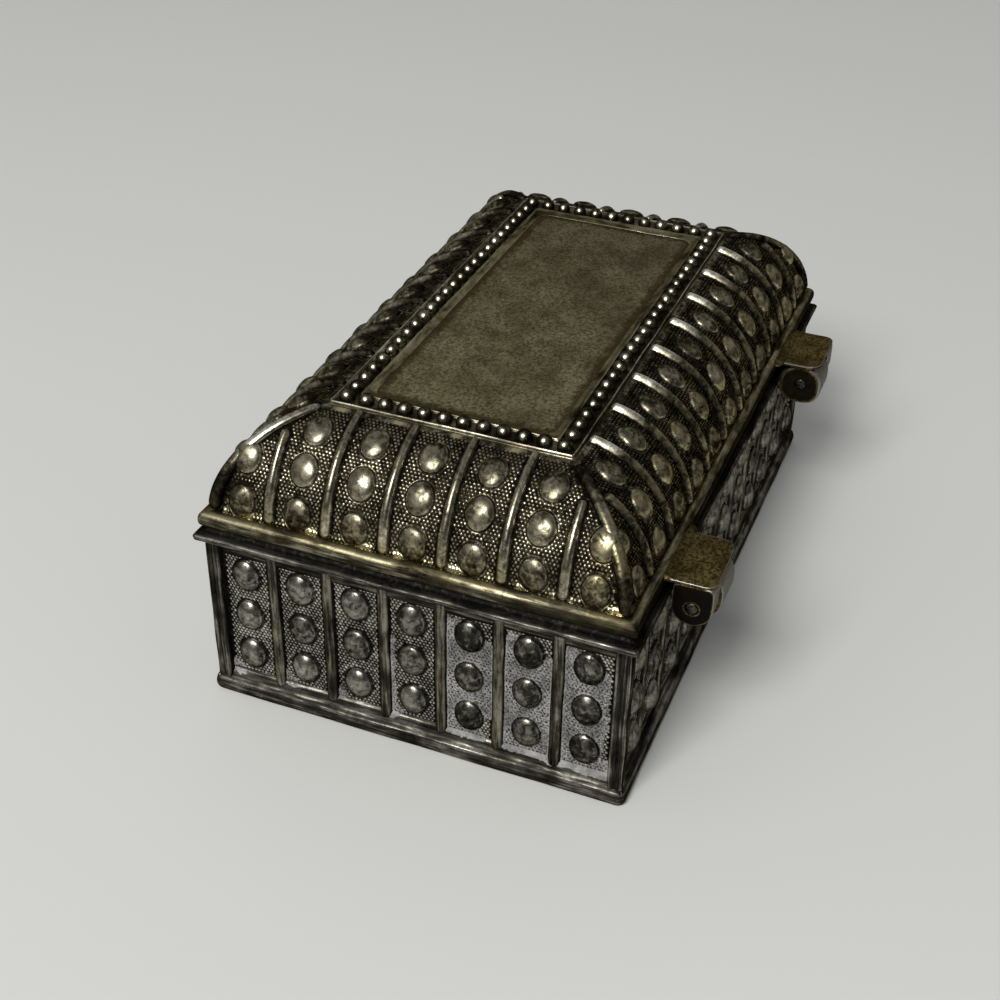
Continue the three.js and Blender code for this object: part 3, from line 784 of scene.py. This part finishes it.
def base_walls():
    """The four walls, each from one mitre to the next, with its relief in front of its panel."""
    rings, lengths = stations(WALL_OUTLINE[:, :3])
    start = 0
    for (name, side), count in zip(SIDES.items(), lengths):
        picked = np.arange(start, start + count + 1) % len(rings)
        start += count
        points = rings[picked].reshape(-1, 3)
        z = points[:, 2]
        on_ledge = smooth(3.0, 3.8, z + 0.35 * patches(points, 2.4, 17)) * (1 - smooth(4.3, 4.7, z))
        residue = 0.9 * on_ledge * chalk(points + [0, 0, 1.2])
        form = Form()
        faces = flipped(tube(count + 1, rings.shape[1]))
        form.add(points, faces, np.tile(WALL_OUTLINE[:, 3], count + 1), residue, drawn=1.0)
        wall_relief(side, form)
        make_piece("wall_" + name, form, "base", "base_metal", ["base_wall_" + name])


# Lid

def on_cove(angle, offset=0.0):
    """The level and height of a place on the cove, or that far outside it."""
    r = COVE["radius"] + offset
    return COVE["s"] + r * np.cos(angle), COVE["z"] + r * np.sin(angle)


def cove_angle(point):
    return math.atan2(point[1] - COVE["z"], point[0] - COVE["s"])


ANGLE_FOOT = cove_angle(COVE_FOOT)
ANGLE_HEAD = cove_angle(COVE_HEAD)
ANGLE_BAND = math.acos((BAND_FOOT - COVE["s"]) / COVE["radius"])
CEILING = PANEL["z"] - 2 * PANEL["thick"]


def cove_outline(low, high, offset, corner, crest, steps=9):
    return [(*on_cove(a, offset), 0, corner, crest) for a in np.linspace(low, high, steps)]


def angle_at(z, inward):
    """The angle on the cove, moved in by that much, at the height z."""
    return math.asin((z - COVE["z"]) / (COVE["radius"] - inward))


HOLLOW_FOOT = 0.09
FOOT_TUCK = 0.95
LID_OUTLINE = softened([
    (COVE_FOOT[0] - LID_WALL, LID_FOOT, 0.1, 0.4, 0.1),
    (32.3, LID_FOOT, 0.15, 0.45, 0.2),
    (32.55, 30.65, 0.15, 0.5, 0.34),
    (32.62, 31.3, 0.4, 0.5, 0.36),
    (32.52, 31.98, 0.4, 0.5, 0.4),
    (32.1, 32.48, 0.4, 0.5, 0.46),
    (31.5, 32.72, 0.25, 0.5, 0.42),
    (31.05, 32.7, 0.08, 0.45, 0.75),
    (30.85, 32.5, 0.1, 0.45, 0.15),
    (30.35, 32.6, 0.1, 0.4, 0.1),
    *cove_outline(ANGLE_FOOT, ANGLE_BAND - 0.01, -0.35, 0.3, 0.0),
    *cove_outline(ANGLE_BAND - 0.005, ANGLE_HEAD - 0.02, 0.0, 0.35, 0.4, 4),
    (18.3, 46.15, 0.08, 0.35, 0.4),
    (18.22, 46.48, 0.1, 0.35, 0.5),
    (18.05, 46.66, 0.1, 0.35, 0.8),
    (17.88, 46.5, 0.12, 0.35, 0.5),
    (17.6, 46.35, 0.2, 0.35, 0.38),
    (17.4, 46.28, 0.1, 0.35, 0.38),
    (15.2, 46.28, 0.1, 0.4, 0.38),
    (15.08, 46.45, 0.08, 0.5, 0.4),
    (14.98, 46.62, 0.06, 0.5, 0.6),
    (14.8, 46.6, 0.08, 0.6, 0.5),
    (14.3, 46.38, 0.1, 1.0, 0.46),
    (13.8, 46.26, 0.12, 1.6, 0.48),
    (13.66, 46.2, 0.05, 1.7, 0.55),
    (13.6, 46.12, 0.03, 1.8, 0.12),
    (13.7, 46.11, 0, 1.8, 0.05),
    (14.16, 46.11, 0, 1.3, 0.1),
    (14.22, 45.0, 0, 1.3, 0.1),
    (13.2, 45.0, 0, 0.4, 0.1),
    (13.2, CEILING, 0, 0.4, 0.1),
    *cove_outline(angle_at(CEILING, LID_WALL), HOLLOW_FOOT, -LID_WALL, 0.4, 0.2),
])


def lid_shell():
    """The lid's casting without its ornament: rim, cove, fillet, bead channel, inner moulding and hollow."""
    rings, _ = stations(LID_OUTLINE[:, :3])
    x, y, z = np.moveaxis(rings, -1, 0)
    # The rim of the near end is painted darker towards its +Y corner, and the rim of the hinge side below
    # its top: painted shade.
    corner = smooth(15, 25, y) * (1 - smooth(32.4, 32.7, z))
    painted_rim_shade = (x > 50) * np.maximum(smooth(8, 27, y) * (z < 32.1), corner)
    painted_rim_shade = np.maximum(painted_rim_shade, (y > 32.2) * (z < 32.1))
    form = Form()
    faces = [woven(len(rings), rings.shape[1], loop_rows=True, loop_columns=True)]
    form.add(rings, faces, LID_OUTLINE[:, 3] * (1 - 0.6 * painted_rim_shade), drawn=1.0)
    make_piece("lid_shell", form, "lid", "lid_metal", ["lid_casting"])


def lid_bosses(side):
    """Where the bosses stand along and up one side of the cove, and how large each is beside the others. A
    row's last boss moves in from the hip and is smaller, and is left out if it would have far to move."""
    bosses = []
    for slope in LID_ROWS:
        angle = math.radians(slope)
        furthest = reach(side, on_cove(angle)[0]) - BESIDE_HIP
        for a in column_places(side):
            if abs(a) <= furthest + SHIFTED_MOST:
                grown = SHIFTED_SIZE if abs(a) > furthest else 1.0
                place = math.copysign(min(abs(a), furthest), a)
                bosses.append((place, COVE["radius"] * (angle - ANGLE_FOOT), grown))
    return bosses


def lid_relief(name):
    """The ornament on one side of the cove, cut off along the hips."""
    side = SIDES[name]
    radius = COVE["radius"]
    head = radius * (ANGLE_HEAD - 0.02 - ANGLE_FOOT)
    u, t = ornament_grid(side, reach(side, COVE_FOOT[0] + 0.3), -FOOT_TUCK, head)
    up, band = t[:, 0], radius * (ANGLE_BAND - ANGLE_FOOT)
    rib = {**LID_RIB, **HINGE_SIDE_RIB} if name == "back" else LID_RIB
    kind = LID_GRANULE if side["out"] else {**LID_GRANULE, "shine": LONG_SHINE}
    size = LID_BOSS if side["out"] else {**LID_BOSS, **LONG_SIDE_BOSS}

    def off_hip(a, b):
        return (reach(side, on_cove(ANGLE_FOOT + b / radius)[0]) - np.abs(a)) / math.sqrt(2) - HIP["half"]

    def free(a, b):
        return np.minimum(off_hip(a, b) + 0.1, np.minimum(b + 0.9, band - b + 0.1))

    def rib_head(a):
        """A rib ends under the fillet, or where it would run into the hip."""
        return up[off_hip(a, up) > LID_RIB["half"] * 0.6][-1] - LID_RIB["half"] * 0.7

    ribs = [(a, LID_RIB["start"] + LID_RIB["half"], rib_head(a)) for a in column_places(side, True)]
    dull = 0.4 * (1 - smooth(1.5, 3.8, t)) + 0.25 * smooth(13.8, 15.5, t)
    height, crest, ground = relief(
        side, u, t, -0.5, kind, lid_bosses(side), size, ribs, rib, free, 2.0 + side["out"], dull
    )
    on_band = ground & (t > band)
    height = np.where(on_band, 0.03, height)
    height = np.where(ground, height + 0.4 * (1 - smooth(-0.2, 0.7, t)), height)
    s, z = on_cove(ANGLE_FOOT + t / radius, height)
    if name == "back":
        # The ribs of the hinge side are painted brighter where they meet the fillet: a painted highlight.
        on_rib = (from_ribs(u, t, ribs) < 0.9 * rib["half"]) & ~ground
        crest = np.where(on_rib, crest + 0.5 * smooth(band - 5.0, band - 2.0, t), crest)
    if name == "front":
        # Those of the front are dull there
        crest = np.where(ground, crest, crest * (1 - 0.8 * smooth(band - 4.0, band - 1.5, t)))
    if name == "right":
        # The ground of the near end is painted bright in spots where it runs into the rim: painted
        # highlights.
        spots = smooth(-0.1, 0.5, patches(np.outer(u[0], (1, 0, 0)), 2.6, 15))
        crest = np.where(ground, np.maximum(crest, 0.66 * spots * (1 - smooth(0.1, 0.7, t))), crest)
    # The plain band, painted brighter in its spots: painted highlights.
    crest = np.where(on_band, 0.4 + 0.7 * brass_and_highlight_spots(placed(side, u, s, z)), crest)
    points, quads = cut_at_corners(side, u, s, z)
    form = Form()
    form.add(points, [quads], crest)
    make_piece("lid_relief_" + name, form, "lid", "lid_metal", ["lid_casting"], flat=np.stack([u, t], -1))


def hip_ridges():
    """A half-round ridge down each corner of the lid, swelling to a rounded foot."""
    form = Form()
    count, around = 50, 24
    angles = np.linspace(ANGLE_FOOT - 0.6 * FOOT_TUCK / COVE["radius"], ANGLE_BAND + 0.03, count)
    s, z = on_cove(angles)
    turns = np.linspace(0, 2 * math.pi, around, endpoint=False)
    t = np.linspace(0, 1, count)
    from_end = np.clip(1 - np.minimum(t / 0.07, (1 - t) / 0.05), 0, 1)
    swell = np.sqrt(np.clip(1 - from_end ** 2, 0.01, 1)) * (1.2 - 0.42 * t)
    section = np.stack([HIP["half"] * np.cos(turns), HIP["rise"] * np.sin(turns)], -1)
    offsets = section[None] * swell[:, None, None]
    lit = near(t[:, None], 0.55, 0.24)
    crest = 0.06 + (0.12 + 0.5 * lit) * np.clip(np.sin(turns), 0, 1)[None] ** 0.5
    for sx in (1, -1):
        for sy in (1, -1):
            outward = np.stack([sx * np.cos(angles), sy * np.cos(angles), 2 * np.sin(angles)], -1)
            outward /= np.linalg.norm(outward, axis=1)[:, None]
            sideways = np.array([sy, -sx, 0]) / math.sqrt(2)
            path = np.stack([sx * (s + LONGER), sy * s, z], -1) - 0.12 * outward
            points = path[:, None] + offsets[..., :1] * sideways + offsets[..., 1:] * outward[:, None]
            # The ridge at the near left corner is painted brighter along its upper half: a painted
            # highlight.
            hip_highlight = 0.5 * smooth(0.42, 0.6, t[:, None]) * (sx > 0 > sy)
            form.add(points, tube(count, around), crest + hip_highlight)
    make_piece("lid_hip_ridges", form, "lid", "lid_metal", ["lid_casting"])


def bead_row():
    """Round beads standing in the channel round the top panel."""
    form = Form()
    across, around = 16, 28
    polar = np.linspace(0, math.pi, across)[:, None]
    turn = np.linspace(0, 2 * math.pi, around, endpoint=False)[None]
    wide = np.sin(polar)
    ball = np.stack([wide * np.cos(turn), wide * np.sin(turn), np.cos(polar) + 0 * turn], -1)
    # Each bead is painted bright on the side that faces halfway between the window and the viewer: a painted
    # highlight.
    rubbed_and_highlit = 0.3 + 0.65 * smooth(0.9, 0.99, ball @ np.array([0.7, 0.12, 0.704]))
    half_width, half_length = BEADS["s"], BEADS["s"] + LONGER
    spots = []
    for share in np.linspace(-1, 1, BEADS["along"]):
        spots += [(half_length * share, half_width), (half_length * share, -half_width)]
    for share in np.linspace(-1, 1, BEADS["across"])[1:-1]:
        spots += [(half_length, half_width * share), (-half_length, half_width * share)]
    sizes = np.random.default_rng(21).uniform(*BEADS["vary"], len(spots))
    for (x, y), size in zip(spots, sizes):
        points = ball * BEADS["radius"] * size + np.array([x, y, BEADS["z"]])
        form.add(points, [woven(across, around, loop_columns=True)], rubbed_and_highlit)
    make_piece("lid_bead_row", form, "lid", "lid_metal", ["lid_casting"])


def top_panel():
    """The plate let into the top of the lid, with softened edges. Its crest paint falls off towards them."""
    top, foot, s = PANEL["z"], PANEL["z"] - PANEL["thick"], PANEL["s"]
    profile = [(SHUT, foot, SHUT), (s, foot, 1.3), (s, top - 0.15, 1.3)]
    profile += [(s - 0.06, top - 0.03, 1.3), (s - 0.25, top, 1.2)]
    profile += [(level, top, min(1.2, level)) for level in (13.5, 12.8, 11.6, 8.5, 6.5, 4.5, 2.5, 1.0, SHUT)]
    profile = np.array(profile)
    rings, _ = stations(profile)
    inside = 1 - smooth(11.4, 13.6, profile[:, 0])
    form = Form()
    form.add(rings, [woven(len(rings), len(profile), loop_rows=True)], np.tile(inside, len(rings)))
    make_piece("top_panel", form, "lid", "panel_metal", ["lid_top_panel"], crease=50)


# Hinges, each made as the right one with its outer face at x = 0 and the rest on -x

def rounded_box_radius(angle, left, right, low, high, corner):
    """How far a box with round corners reaches from the pin at each angle. left to high are how far its
    sides lie from the pin, and its corners are squarer where corner is smaller."""
    c, d = np.cos(angle), np.sin(angle)
    wide = np.where(c > 0, right, left) / np.maximum(np.abs(c), 1e-6)
    tall = np.where(d > 0, high, low) / np.maximum(np.abs(d), 1e-6)
    power = 9.0 / corner
    return (wide ** -power + tall ** -power) ** (-1 / power)


def round_pin(x, radius, angle):
    """A ring of points round the pin's line."""
    y, z = PIN["y"] + radius * np.cos(angle), PIN["z"] + radius * np.sin(angle)
    return np.stack([x + 0 * angle, y, z], -1)


def knuckle(form, radius_at, start, end, face, ring, soft_end=0.3):
    """A knuckle round the pin, with a bore and softened edges, between two places along x. face and ring are
    the wear of its outer end and of the ring round the pin there, and soft_end rounds its other end."""
    angle = np.linspace(0, 2 * math.pi, 72, endpoint=False)
    outer, bore, soft = radius_at(angle), PIN["bore"], 0.3
    loops = [
        (start, bore, 0.1), (start, bore + 0.12, ring), (start, bore + 0.3, face),
        (start, outer - soft, face), (start - soft * 0.3, outer - soft * 0.3, 0.9),
        (start - soft, outer, 0.72),
    ]
    rounding = ((1, 0, 0.72), (0.62, 0.08, 0.75), (0.3, 0.3, 0.85), (0.08, 0.62, 0.6), (0, 1, 0.14))
    loops += [(end + soft_end * back, outer - soft_end * down, crest) for back, down, crest in rounding]
    loops += [(end, bore + 0.12, 0.14), (end, bore, 0.1)]
    points = np.array([round_pin(x, r, angle) for x, r, _ in loops])
    paint = np.repeat([crest for _, _, crest in loops], len(angle))
    form.add(points, [woven(len(loops), len(angle), loop_rows=True, loop_columns=True)], paint)


def leaf_plate(form):
    """The flat plate that carries the lid's knuckle out from its rim."""
    length, inner, outer, top, thick = 12.0, 32.5, 39.6, 32.1, 0.6
    corners = [(-length, inner, 0.2), (0, inner, 0.2), (0, outer, 1.5), (-length, outer, 2.4)]
    outline = []
    for (x, y, r), start in zip(corners, (180, 270, 0, 90)):
        cx = x + r if start in (180, 90) else x - r
        cy = y + r if start in (180, 270) else y - r
        for a in np.radians(np.linspace(start, start + 90, 9)):
            outline.append((cx + r * math.cos(a), cy + r * math.sin(a)))
    outline = np.array(outline)
    inward = outline.mean(0) - outline
    inward /= np.linalg.norm(inward, axis=1)[:, None]
    # The end away from the knuckle's face is rubbed rounder
    inward *= 1 + 2.0 * (outline[:, :1] < -length + 0.4)
    levels = [
        (0.3, top - thick, 0.2), (0.06, top - thick + 0.06, 0.4), (0, top - thick + 0.2, 0.3),
        (0, top - 0.1, 0.7), (0.035, top - 0.03, 0.92), (0.14, top, 0.55),
    ]
    count = len(outline)
    loops = [np.column_stack([outline + inward * inset, np.full(count, z)]) for inset, z, _ in levels]
    form.add(np.array(loops), tube(len(levels), count), np.repeat([crest for _, _, crest in levels], count))
    root(form, length, top)


def root(form, length, top):
    """The ridge of solder along the plate's inner edge, which dies away past both of its ends."""
    x = np.linspace(-length - 1.5, 0.2, 40)[:, None]
    swell = np.sqrt(np.clip(np.minimum((x + length + 1.5) / 1.5, (0.2 - x) / 0.3), 0, 1))
    turns = np.linspace(0, 2 * math.pi, 16, endpoint=False)
    y = 32.55 + np.clip(np.cos(turns), -0.2, 1) * (0.15 + 1.05 * swell)
    z = top - 0.12 + np.sin(turns) * (0.1 + 0.28 * swell)
    form.add(np.stack([x + 0 * y, y, z], -1), tube(len(x), len(turns)), 0.3)


def lid_knuckle_radius(angle):
    """Square above the pin, where it meets the plate, and round below."""
    return np.where(np.sin(angle) < 0, 2.9, rounded_box_radius(angle, 2.9, 2.9, 2.9, 3.8, 1.0))


def base_knuckle_radius(angle):
    """A rounded square that reaches in to the wall."""
    corner = np.where(np.sin(angle) < 0, 3.3, 4.1)
    return rounded_box_radius(angle, PIN["y"] - 33.0, 3.35, 3.75, 3.35, corner)


def pin(form, start, end):
    """A pin with domed ends."""
    turn = np.linspace(0, 2 * math.pi, 28, endpoint=False)
    dome = [(-0.02, 0.02), (0, 0.35), (0.06, 0.7), (0.16, PIN["radius"]), (0.4, PIN["radius"])]
    shape = [(start - back, r) for back, r in dome] + [(end + back, r) for back, r in dome[::-1]]
    loops = np.array([round_pin(x, r, turn) for x, r in shape])
    form.add(loops, [woven(len(shape), len(turn), loop_columns=True)], 0.8)


def handed(form, place):
    """The form as the hinge at that place: moved along x, and turned over for the left hand."""
    form.points = [points * [place["turn"], 1, 1] + [place["end"], 0, 0] for points in form.points]
    if place["turn"] < 0:
        form.faces = flipped(form.faces)
    return form


def hinges():
    """Each hinge's upper leaf, lower leaf and pin."""
    for hand, place in HINGES.items():
        leaf, barrel, rod = Form(), Form(), Form()
        leaf_plate(leaf)
        knuckle(leaf, lid_knuckle_radius, 0.0, -3.8, 0.1, 0.5)
        knuckle(barrel, base_knuckle_radius, -4.1, -10.7, 0.3, 0.4, 0.75)
        pin(rod, 0.15, -10.85)
        leaf, barrel, rod = (handed(form, place) for form in (leaf, barrel, rod))
        make_piece("lid_leaf_" + hand, leaf, "lid", "hinge_metal", ["lid_hinge_leaf_" + hand], crease=50)
        make_piece(
            "base_leaf_" + hand, barrel, "base", "hinge_metal", ["base_hinge_leaf_" + hand], crease=50
        )
        make_piece("pin_" + hand, rod, "base", "pin_metal", ["hinge_pin_" + hand], cast=False)


# Linings, bottom and felt

def node_box(node):
    """A node's two corners in millimetres."""
    return (np.array(corner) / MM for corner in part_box(node))


def pad(low, high, crown):
    """A cushion between two corners: drawn in at its seams, crowned over the middle, flat underneath."""
    middle, half = (low + high) / 2, (high - low) / 2
    n = 64
    u = np.sin(np.linspace(-1, 1, n) * math.pi / 2)
    x, y = np.meshgrid(u, u)
    edge = np.maximum(np.abs(x), np.abs(y))
    pull = 1 - 0.012 * (1 - np.minimum(np.abs(x), np.abs(y)) ** 2) * smooth(0.9, 1.0, edge)
    bulge = np.clip((1 - np.abs(x) ** 5) * (1 - np.abs(y) ** 5), 0, 1) ** 0.45
    wrinkle = 0.06 * np.sin(x * 9 + 2 * y) * np.sin(y * 7 - x) * bulge
    top = np.minimum(middle[2] + half[2] * (1 - crown + crown * bulge) + wrinkle, high[2])
    upper = np.stack([middle[0] + half[0] * x * pull, middle[1] + half[1] * y * pull, top], -1)
    lower = upper.copy()
    lower[..., 2] = low[2]
    form = Form()
    form.add(np.stack([upper, lower]), flipped(slab(n, n)), 0.5)
    return form


def floor_cushion():
    piece = make_piece(
        "floor_cushion", pad(*node_box("floor_pad"), 0.55), "base", "velvet", ["floor_pad"], cast=False
    )


def wall_linings():
    """Velvet over thin card on the inside of each wall, a little fuller in the middle."""
    rows, columns = 14, 40
    v, u = np.meshgrid(np.linspace(-1, 1, rows), np.linspace(-1, 1, columns), indexing="ij")
    full = np.clip((1 - np.abs(u) ** 12) * (1 - np.abs(v) ** 8), 0, 1) ** 0.35
    for name, side in SIDES.items():
        node = "wall_lining_" + name
        low, high = node_box(node)
        middle, half = (low + high) / 2, (high - low) / 2
        thin = 1 if side["out"] == 0 else 0
        outward = np.sign(middle[thin])
        skins = []
        for depth in (half[thin] * (0.35 + 0.65 * full), -half[thin]):
            points = np.zeros((rows, columns, 3))
            points[..., 1 - thin] = middle[1 - thin] + half[1 - thin] * u
            points[..., 2] = middle[2] + half[2] * v
            points[..., thin] = middle[thin] - outward * depth
            skins.append(points)
        faces = slab(rows, columns)
        if outward * (1 if thin else -1) > 0:
            faces = flipped(faces)
        form = Form()
        form.add(np.stack(skins), faces, 0.5)
        piece = make_piece("lining_" + name, form, "base", "velvet", [node], cast=False)


def lid_lining():
    """The velvet bowl inside the lid, following the cove at an even thickness."""
    skin, thick, corner = LID_WALL + 0.2, 0.75, 1.2
    foot, top = LID_FOOT + 0.65, CEILING - 0.2

    def bowl(inward, ceiling):
        angles = np.linspace(HOLLOW_FOOT, angle_at(ceiling, inward), 9)
        return [(*on_cove(a, -inward), corner) for a in angles]

    outer, inner = bowl(skin, top), bowl(skin + thick, top - thick)
    within, beyond = inner[0][0], outer[0][0]
    edge = [(within + 0.05, foot + 0.15), ((within + beyond) / 2, foot), (beyond, foot + 0.15)]
    closing = [(s, top, min(corner, s)) for s in (8, 4, SHUT)]
    under = [(s, top - thick + 0.12 * (1 - s / 10), min(corner, s)) for s in (SHUT, 4, 8)]
    profile = np.array([*((s, z, corner) for s, z in edge), *outer, *closing, *under, *inner[::-1]])
    rings, _ = stations(profile)
    form = Form()
    form.add(rings, [woven(len(rings), len(profile), loop_rows=True, loop_columns=True)], 0.5)
    piece = make_piece("lid_lining_velvet", form, "lid", "velvet", ["lid_lining"], cast=False, crease=60)


def plate_between(name, node, slot, soft, corner):
    """A flat plate of the base in a node's place, with softened edges and round corners."""
    low, high = node_box(node)
    s = high[1]
    edge = [(SHUT, 0, SHUT), (s - soft, 0, corner), (s - soft * 0.3, soft * 0.3, corner), (s, soft, corner)]
    profile = [(level, low[2] + up, r) for level, up, r in edge]
    profile += [(level, high[2] - up, r) for level, up, r in edge[::-1]]
    rings, _ = stations(np.array(profile))
    form = Form()
    form.add(rings, [woven(len(rings), len(profile), loop_rows=True)], 0.5)
    return make_piece(name, form, "base", slot, [node], cast=False)


def bottom():
    plate_between("bottom_sheet", "bottom_plate", "plate_metal", 0.15, 0.8)
    felt = plate_between("felt_pad", "bottom_felt", "felt", 0.25, 1.2)


base_walls()
lid_shell()
for side_name in SIDES:
    lid_relief(side_name)
hip_ridges()
bead_row()
top_panel()
hinges()
floor_cushion()
wall_linings()
lid_lining()
bottom()


# Stage, light and camera

def floor():
    half = 3.0
    mesh = bpy.data.meshes.new("ground")
    corners = [(-half, -half, 0), (half, -half, 0), (half, half, 0), (-half, half, 0)]
    mesh.from_pydata(corners, [], [(0, 1, 2, 3)])
    mesh.materials.append(Look("pale_ground").finished(Base_Color=(0.640, 0.642, 0.608), Roughness=0.55))
    ground = bpy.data.objects.new("ground", mesh)
    bpy.context.scene.collection.objects.link(ground)


def toward(azimuth, elevation):
    a, e = math.radians(azimuth), math.radians(elevation)
    return Vector((math.cos(a) * math.cos(e), math.sin(a) * math.cos(e), math.sin(e)))


def lamp(name, azimuth, elevation, distance, size, share):
    """A square soft light that gives a white surface facing it that share of full brightness."""
    data = bpy.data.lights.new(name, "AREA")
    data.size = size
    data.energy = share * (math.pi * distance) ** 2
    lit = bpy.data.objects.new(name, data)
    way = toward(azimuth, elevation)
    lit.location = way * distance + Vector((0, 0, 0.02))
    lit.rotation_mode = "QUATERNION"
    lit.rotation_quaternion = way.to_track_quat("Z", "Y")
    bpy.context.scene.collection.objects.link(lit)


VIEWER = (0.72, 0.47, 0.51)  # the direction of the dark place where the viewer stands
KEY = (-7, 45)  # the azimuth and elevation of the window's light
WINDOW = {"distance": 1.3, "size": 0.48, "share": 0.84}
# Where the camera stands, the direction from what it looks at back to it, and how far it leans
CAMERA = {"place": (201.537, 71.703, 157.724), "back": (21.3775, 34.6093), "roll": 1.1042, "lens": 55.330}


def surroundings():
    """A dim room, lighter half way up than low down or overhead. It glows around the window, and is dark
    where the viewer stands and on the hinge side."""
    world = bpy.data.worlds.new("room")
    bpy.context.scene.world = world
    world.use_nodes = True
    n = Nodes(world.node_tree)
    way = n.node("TexCoord", "Generated", {})
    y, z = (n.node("SeparateXYZ", axis, {0: way}) for axis in "YZ")

    def ramp(value, *numbers):
        return n.between(value, *numbers, how="LINEAR")

    def toward_ramp(direction, *numbers):
        """A ramp over how straight a ray goes in that direction."""
        straight = n.node("VectorMath", "Value", {0: way, 1: direction}, operation="DOT_PRODUCT")
        return ramp(straight, *numbers)

    strength = ramp(z, 0.0, 0.6, 0.1, 0.46) * ramp(z, 0.6, 1.0, 1.0, 0.65) * ramp(y, -0.1, 0.8, 1.0, 0.7)
    strength = strength * toward_ramp(VIEWER, 0.84, 0.95, 1.0, 0.12)
    strength = strength + toward_ramp(toward(*KEY), 0.86, 0.98, 0.0, 0.9)
    # Behind the object the room is an even pale grey
    shown = n.blend(n.node("LightPath", "Is Camera Ray", {}), strength, 0.6)
    background = n.tree.nodes["Background"]
    background.inputs["Color"].default_value = (0.97, 0.98, 1.0, 1)
    connect(n.tree, shown, background.inputs["Strength"])


def camera():
    """The photograph's own view, worked out from the box's edges in it."""
    seen = bpy.data.cameras.new("photo_view")
    seen.sensor_width = 36
    seen.lens = CAMERA["lens"]
    seen.clip_start = 0.01
    seen.clip_end = 20
    eye = bpy.data.objects.new("photo_view", seen)
    level = toward(*CAMERA["back"]).to_track_quat("Z", "Y").to_matrix().to_4x4()
    roll = Matrix.Rotation(math.radians(CAMERA["roll"]), 4, "Z")
    eye.matrix_world = Matrix.Translation(Vector(CAMERA["place"]) * MM) @ level @ roll
    bpy.context.scene.collection.objects.link(eye)
    bpy.context.scene.camera = eye


floor()
lamp("window", *KEY, **WINDOW)
surroundings()
camera()
bpy.context.scene.view_settings.view_transform = "Standard"
